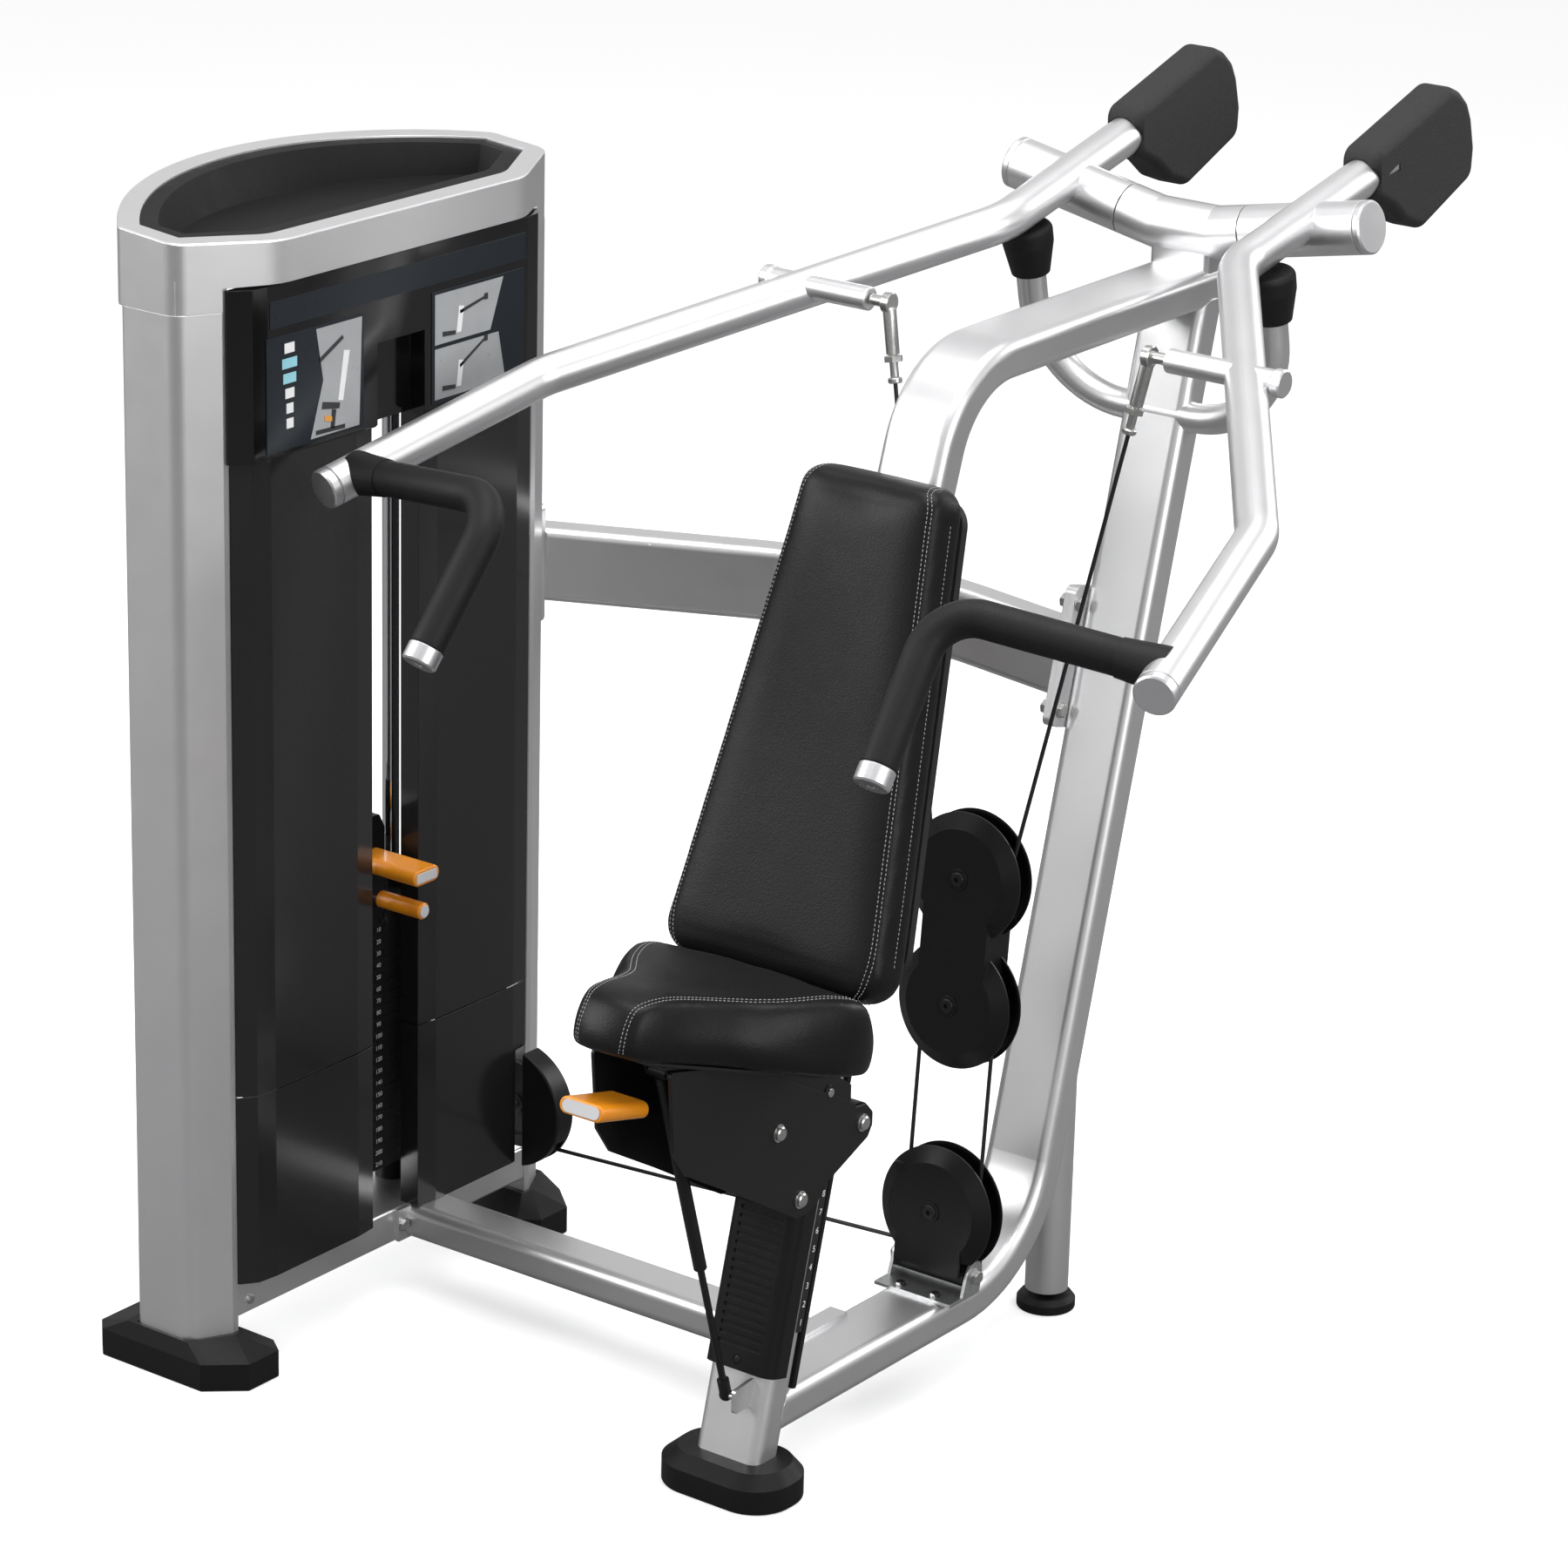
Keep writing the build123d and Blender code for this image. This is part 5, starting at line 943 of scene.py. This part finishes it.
# machine pictogram on the left placard: name, (y, z) outline, material, step
LEFT_PRINTS = [
    ("panel", [(-0.800, 1.360), (-0.700, 1.360), (-0.694, 1.512), (-0.788, 1.512),
               (-0.774, 1.438)], print_grey, 0.0),
    ("seat", [(-0.778, 1.398), (-0.742, 1.392), (-0.740, 1.400), (-0.776, 1.408)],
     print_dark, OVER),
    ("back", [(-0.744, 1.404), (-0.734, 1.402), (-0.720, 1.470), (-0.732, 1.472)],
     print_white, OVER),
    ("post", [(-0.760, 1.368), (-0.752, 1.366), (-0.748, 1.392), (-0.757, 1.394)],
     print_dark, OVER),
    ("base", [(-0.790, 1.364), (-0.730, 1.362), (-0.730, 1.368), (-0.790, 1.370)],
     print_dark, OVER),
    ("bar", [(-0.782, 1.470), (-0.735, 1.494), (-0.732, 1.489), (-0.780, 1.464)],
     print_dark, OVER),
    ("mark", [(-0.772, 1.380), (-0.757, 1.377), (-0.757, 1.384), (-0.772, 1.388)],
     print_amber, TOP),
]
for name, outline, material, step in LEFT_PRINTS:
    raised_print("pic_left_" + name, outline, material, step)

# column of bars beside it, from the top down: width, material
BARS = [(0.020, print_white), (0.030, print_blue), (0.026, print_blue),
        (0.018, print_white), (0.014, print_white), (0.014, print_white)]
BAR_Y, BAR_TOP_Z, BAR_PITCH, BAR_HEIGHT = -0.842, 1.490, 0.021, 0.014
for i, (width, material) in enumerate(BARS):
    z = BAR_TOP_Z - i * BAR_PITCH
    raised_print("pic_left_bar_%d" % i,
                 rectangle(BAR_Y - width / 2, BAR_Y + width / 2, z, z + BAR_HEIGHT), material)

# right placard: two grey panels with two arm positions
raised_print("pic_right_top", [(-0.540, 1.440), (-0.420, 1.440), (-0.392, 1.512),
                               (-0.540, 1.512)], print_grey)
raised_print("pic_right_low", [(-0.540, 1.361), (-0.386, 1.361), (-0.402, 1.434),
                               (-0.540, 1.434)], print_grey)
for k, (lift, arm_rise) in enumerate(((0.078, 0.012), (0.0, 0.030))):
    tip = lift + arm_rise
    raised_print("pic_right_back_%d" % k,
                 [(-0.494, 1.372 + lift), (-0.484, 1.372 + lift), (-0.478, 1.408 + lift),
                  (-0.489, 1.410 + lift)], print_white, OVER)
    raised_print("pic_right_arm_%d" % k,
                 [(-0.486, 1.398 + lift), (-0.432, 1.398 + tip), (-0.432, 1.402 + tip),
                  (-0.487, 1.403 + lift)], print_dark, OVER)
    raised_print("pic_right_knob_%d" % k,
                 rectangle(-0.434, -0.426, 1.396 + tip, 1.405 + tip), print_dark, TOP)
    raised_print("pic_right_seat_%d" % k,
                 [(-0.524, 1.372 + lift), (-0.496, 1.370 + lift), (-0.496, 1.376 + lift),
                  (-0.524, 1.379 + lift)], print_dark, OVER)


# ------------------------------------------------------------------ counterweights
def counterweight_skin(side):
    """Copy of the counterweight, a little wider across x."""
    node = "counterweight_" + side
    name = "counterweight_skin_" + side
    mesh = NODES[node].data.copy()
    mesh.name = name
    centre_x = sum(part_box(node), Vector()).x / 2
    for v in mesh.vertices:
        v.co.x = centre_x + (v.co.x - centre_x) * 1.075
    bm = bmesh.new()
    bm.from_mesh(mesh)
    bmesh.ops.remove_doubles(bm, verts=bm.verts, dist=1e-5)
    bm.to_mesh(mesh)
    bm.free()
    obj = bpy.data.objects.new(name, mesh)
    COLLECTION.objects.link(obj)
    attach(obj, "press_arm_" + side)
    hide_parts(node)


for side in ("left", "right"):
    counterweight_skin(side)

# ------------------------------------------------------------------ grey insets in the knobs
knob_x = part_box("addon_knob")[1].x
KNOB_Z = 0.684
box("addon_inset", (knob_x - 0.001, TOWER_Y - 0.022, KNOB_Z - 0.0075),
    (knob_x + 0.0008, TOWER_Y + 0.022, KNOB_Z + 0.0075), grey_insert, "addon",
    radius=0.0006, seg=3)
disc("pin_inset", (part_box("selector_pin")[1].x - 0.001, TOWER_Y, 0.629), X_AXIS,
     0.0095, 0.0016, grey_insert, "pin", "amber_grey")


def lever_inset():
    """Thin plate with round ends on the front of the seat lever."""
    slope = math.radians(SEAT_TILT_DEG * 0.9)
    axis = Vector((0, -math.cos(slope), math.sin(slope)))
    up = Vector((0, math.sin(slope), math.cos(slope)))
    handle_start, handle_length = -0.046, 0.098    # along the axis
    centre = Vector((0, -1.057, 0.658)) + axis * (handle_start + handle_length)
    half_straight, end_radius, steps = 0.0215, 0.0088, 24
    outline = []
    for k in range(steps):
        angle = 2 * math.pi * k / steps
        middle = half_straight if math.cos(angle) > 0 else -half_straight
        outline.append((middle + end_radius * math.cos(angle), end_radius * math.sin(angle)))
    near, far = ([centre + axis * along + Vector((x, 0, 0)) + up * z for x, z in outline]
                 for along in (-0.001, 0.0009))
    prism("lever_inset", near, far, grey_insert, "lever", "amber_grey")


def lanyard():
    """Coiled, sagging lanyard from the pin to the head plate."""
    start = Vector((-0.775, TOWER_Y + 0.010, 0.622))
    end = Vector((-0.800, TOWER_Y + 0.050, 0.600))
    sag, coil_radius, coil_angle, steps = 0.030, 0.0035, 44, 120
    points = []
    for i in range(steps + 1):
        t = i / steps
        hanging = start.lerp(end, t) + Vector((0, 0, -sag * math.sin(math.pi * t)))
        points.append(hanging + Vector((coil_radius * math.cos(t * coil_angle), 0,
                                        coil_radius * math.sin(t * coil_angle))))
    tubes("pin_lanyard", [points], 0.0009, 6, cable_coat, "stack_head", "cable_black")


lever_inset()
lanyard()


# ------------------------------------------------------------------ numbers
def number(name, text, size, place, rotation):
    """White raised figures on the frame."""
    curve = bpy.data.curves.new(name, "FONT")
    curve.body = text
    curve.size = size
    curve.extrude = 0.00015
    curve.align_x, curve.align_y = "CENTER", "CENTER"
    source = bpy.data.objects.new(name, curve)
    COLLECTION.objects.link(source)
    source.matrix_world = Matrix.Translation(place) @ rotation
    bpy.context.view_layer.update()
    evaluated = source.evaluated_get(bpy.context.evaluated_depsgraph_get())
    mesh = bpy.data.meshes.new_from_object(evaluated)
    mesh.transform(source.matrix_world)
    bpy.data.objects.remove(source)
    mesh.materials.clear()
    add_object(name, mesh, print_white, "frame")


def facing(right, up):
    """Rotation that lays text along right with its top towards up."""
    right, up = Vector(right).normalized(), Vector(up).normalized()
    return Matrix((right, up, right.cross(up))).transposed().to_4x4()


PLATE_COUNT, PLATE_PITCH, PLATE_STEP = 21, 0.0184, 10    # step: weight from plate to plate
FIRST_PLATE_Z = 0.187
LABEL_Y, LABEL_HALF_Y, LABEL_HALF_Z = -0.5795, 0.0125, 0.0062
plate_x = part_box("weight_plates")[1].x
plate_facing = facing((0, 1, 0), (0, 0, 1))
for i in range(PLATE_COUNT):
    z = FIRST_PLATE_Z + i * PLATE_PITCH + 0.0089
    box("plate_label_%02d" % i,
        (plate_x - 0.0002, LABEL_Y - LABEL_HALF_Y, z - LABEL_HALF_Z),
        (plate_x + 0.0007, LABEL_Y + LABEL_HALF_Y, z + LABEL_HALF_Z),
        label_black, "frame", radius=0.0004)
    number("plate_number_%02d" % i, str(PLATE_STEP * (PLATE_COUNT - i)), 0.0098,
           (plate_x + 0.0009, LABEL_Y, z), plate_facing)
    # painted shade: a flat near-black disc on each plate's face stands in for the shadowed
    # inside of its pin hole
    disc("painted_pin_hole_shade_%02d" % i, (plate_x - 0.0006, -0.6165, z), X_AXIS, 0.0058, 0.0009,
         hole_shade_paint, "frame", "plate_black", seg=24)

# seat height scale on the column's +x side
COLUMN_UP = Vector((0, 0.2575, 1)).normalized()
COLUMN_REAR = Vector((0, 1, -0.2575)).normalized()
COLUMN_FOOT = Vector((0, -0.756, 0.050))
COLUMN_SIDE_X = 0.0535
SCALE_PITCH = 0.026
scale_centre = (COLUMN_FOOT + X_AXIS * COLUMN_SIDE_X) + COLUMN_UP * 0.30 + COLUMN_REAR * 0.017


def scale_strip():
    thick, width, length = 0.0014, 0.0125, 0.235
    bm = bmesh.new()
    bmesh.ops.create_cube(bm, size=1.0)
    for v in bm.verts:
        x, y, z = v.co
        v.co = (scale_centre + X_AXIS * (x * thick + 0.0004)
                + COLUMN_UP * (z * length) + COLUMN_REAR * (y * width))
    mesh = bpy.data.meshes.new("scale_strip")
    bm.to_mesh(mesh)
    bm.free()
    add_object("scale_strip", mesh, label_black, "frame")


scale_strip()
for i in range(9):
    place = scale_centre + COLUMN_UP * (-0.104 + i * SCALE_PITCH) + X_AXIS * 0.00125
    number("scale_number_%d" % (i + 1), str(i + 1), 0.013, place,
           facing(COLUMN_REAR, COLUMN_UP))

# ------------------------------------------------------------------ screws and stays
cover = COLUMN_FOOT + COLUMN_UP * 0.120 - COLUMN_REAR * 0.0375
for k, along in enumerate((0.014, 0.266)):
    disc("cover_screw_%d" % k, cover + COLUMN_UP * along, -COLUMN_REAR, 0.0062, 0.0016,
         black_oxide, "frame", "black_plastic", seg=28, dome=0.0006)
disc("column_stop_bolt", (0.0536, -0.634, 0.557), X_AXIS, 0.0105, 0.008, zinc, "frame",
     "bolt_zinc", dome=0.0015)
disc("beam_screw", (-0.7622, -0.902, 0.104), X_AXIS, 0.0065, 0.003, zinc, "frame",
     "bolt_zinc", dome=0.001)

# flat stays under the rear of the seat, outside the column, with their screws
STAY_OUTLINE = [          # y, z
    (-0.812, 0.652), (-0.735, 0.630), (-0.720, 0.622), (-0.628, 0.580), (-0.600, 0.560),
    (-0.600, 0.536), (-0.640, 0.540), (-0.738, 0.592), (-0.800, 0.620)]
STAY_INNER_X, STAY_OUTER_X = 0.0592, 0.0632
SCREW_Y, SCREW_Z = -0.652, 0.5655
for side, sign in (("right", 1), ("left", -1)):
    yz_prism("seat_stay_" + side, STAY_OUTLINE, sign * STAY_INNER_X, sign * STAY_OUTER_X,
             black_paint, "seat", "black_paint")
    disc("stay_screw_" + side, (sign * STAY_OUTER_X, SCREW_Y, SCREW_Z), (sign, 0, 0),
         0.0105, 0.0022, black_plastic, "seat", "black_plastic", seg=32)
    disc("stay_screw_head_" + side, (sign * 0.0652, SCREW_Y, SCREW_Z), (sign, 0, 0),
         0.0062, 0.0030, zinc, "seat", "bolt_zinc", seg=32, dome=0.0006)

# caps in the centre of the pulley covers
for name, v, body in (("upper", UPPER_V, "carriage"), ("lower", LOWER_V, "carriage"),
                      ("bottom", 0.0, "frame")):
    disc("pulley_cap_" + name, pulley_point(0, v, 0.0300), PULLEY_FRONT, 0.0155, 0.0022,
         black_plastic, body, "black_plastic", seg=36)


# ------------------------------------------------------------------ stage, light, camera
def floor_material():
    """Bright to the camera, dark to every other ray."""
    s = Surface("studio_floor")
    s.vary((0.80, 0.80, 0.80), amount=0.006, scale=1.5, rough=0.7, rough_amount=0.02)
    ray = add_node(s.tree, "LightPath")
    glow = add_node(s.tree, "Emission", Color=(1, 1, 1, 1), Strength=0.42)
    seen = add_node(s.tree, "AddShader")
    unseen = add_node(s.tree, "BsdfDiffuse", Color=(0.17, 0.17, 0.172, 1))
    choice = add_node(s.tree, "MixShader")
    s.link(s.shader.outputs[0], seen.inputs[0])
    s.link(glow.outputs[0], seen.inputs[1])
    s.link(ray.outputs["Is Camera Ray"], choice.inputs[0])
    s.link(unseen.outputs[0], choice.inputs[1])
    s.link(seen.outputs[0], choice.inputs[2])
    s.link(choice.outputs[0], s.tree.nodes["Material Output"].inputs["Surface"])
    return s.material


def floor():
    half, z = 30, -0.0002
    mesh = bpy.data.meshes.new("floor")
    mesh.from_pydata([(-half, -half, z), (half, -half, z), (half, half, z),
                      (-half, half, z)], [], [(0, 1, 2, 3)])
    add_object("floor", mesh, floor_material())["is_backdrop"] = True


def studio_world():
    """White to the camera; other rays see greys that change with height."""
    world = bpy.data.worlds.new("studio")
    bpy.context.scene.world = world
    world.use_nodes = True
    tree = world.node_tree
    link = tree.links.new
    background = tree.nodes["Background"]
    coords = add_node(tree, "TexCoord")
    split = add_node(tree, "SeparateXYZ")
    link(coords.outputs["Generated"], split.inputs[0])
    height = add_node(tree, "MapRange", From_Min=-1, From_Max=1)
    link(split.outputs["Z"], height.inputs["Value"])
    greys = color_ramp(tree, height.outputs["Result"], [
        (0.0, (0.10, 0.10, 0.10)), (0.48, (0.20, 0.20, 0.205)),
        (0.54, (0.58, 0.58, 0.585)), (0.66, (0.66, 0.66, 0.665)),
        (0.80, (0.48, 0.48, 0.485)), (1.0, (0.70, 0.70, 0.71))])
    ray = add_node(tree, "LightPath")
    choice = add_node(tree, "Mix")
    choice.data_type = "RGBA"
    link(ray.outputs["Is Camera Ray"], choice.inputs[0])
    link(greys, choice.inputs[6])
    choice.inputs[7].default_value = (1.0, 1.0, 1.0, 1)
    link(choice.outputs[2], background.inputs["Color"])
    set_inputs(background, Strength=1.0)


def area_light(name, place, target, size, power):
    light = bpy.data.lights.new(name, "AREA")
    light.energy = power
    light.size = size
    obj = bpy.data.objects.new(name, light)
    COLLECTION.objects.link(obj)
    obj.location = place
    aim = Vector(target) - Vector(place)
    obj.rotation_euler = aim.to_track_quat("-Z", "Y").to_euler()


def camera():
    azimuth, elevation, roll = (math.radians(a) for a in (36.339, 19.415, 1.44))
    back = Vector((math.sin(azimuth) * math.cos(elevation),
                   -math.cos(azimuth) * math.cos(elevation), math.sin(elevation)))
    right = (-back).cross(Vector((0, 0, 1))).normalized()
    up = right.cross(-back)
    rolled_right = right * math.cos(roll) + up * math.sin(roll)
    rolled_up = -right * math.sin(roll) + up * math.cos(roll)
    lens = bpy.data.cameras.new("camera")
    lens.sensor_width = 36.0
    lens.lens = 124.09
    lens.clip_end = 100
    obj = bpy.data.objects.new("camera", lens)
    COLLECTION.objects.link(obj)
    pose = Matrix((rolled_right, rolled_up, back)).transposed().to_4x4()
    pose.translation = Vector((3.994, -6.115, 3.376))
    obj.matrix_world = pose
    bpy.context.scene.camera = obj


floor()
studio_world()
area_light("key_left", (-4.8, -4.6, 3.6), target=(-0.3, -0.4, 0.8), size=3.6, power=270)
area_light("fill_right", (5.2, -1.8, 2.6), target=(0, -0.2, 0.9), size=2.8, power=120)
area_light("top", (0.2, -0.6, 5.2), target=(0, -0.3, 0.6), size=3.6, power=170)
area_light("rim_back", (2.2, 5.0, 3.4), target=(0, 0, 0.9), size=2.6, power=120)
camera()
bpy.context.scene.view_settings.view_transform = "Standard"

low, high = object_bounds()
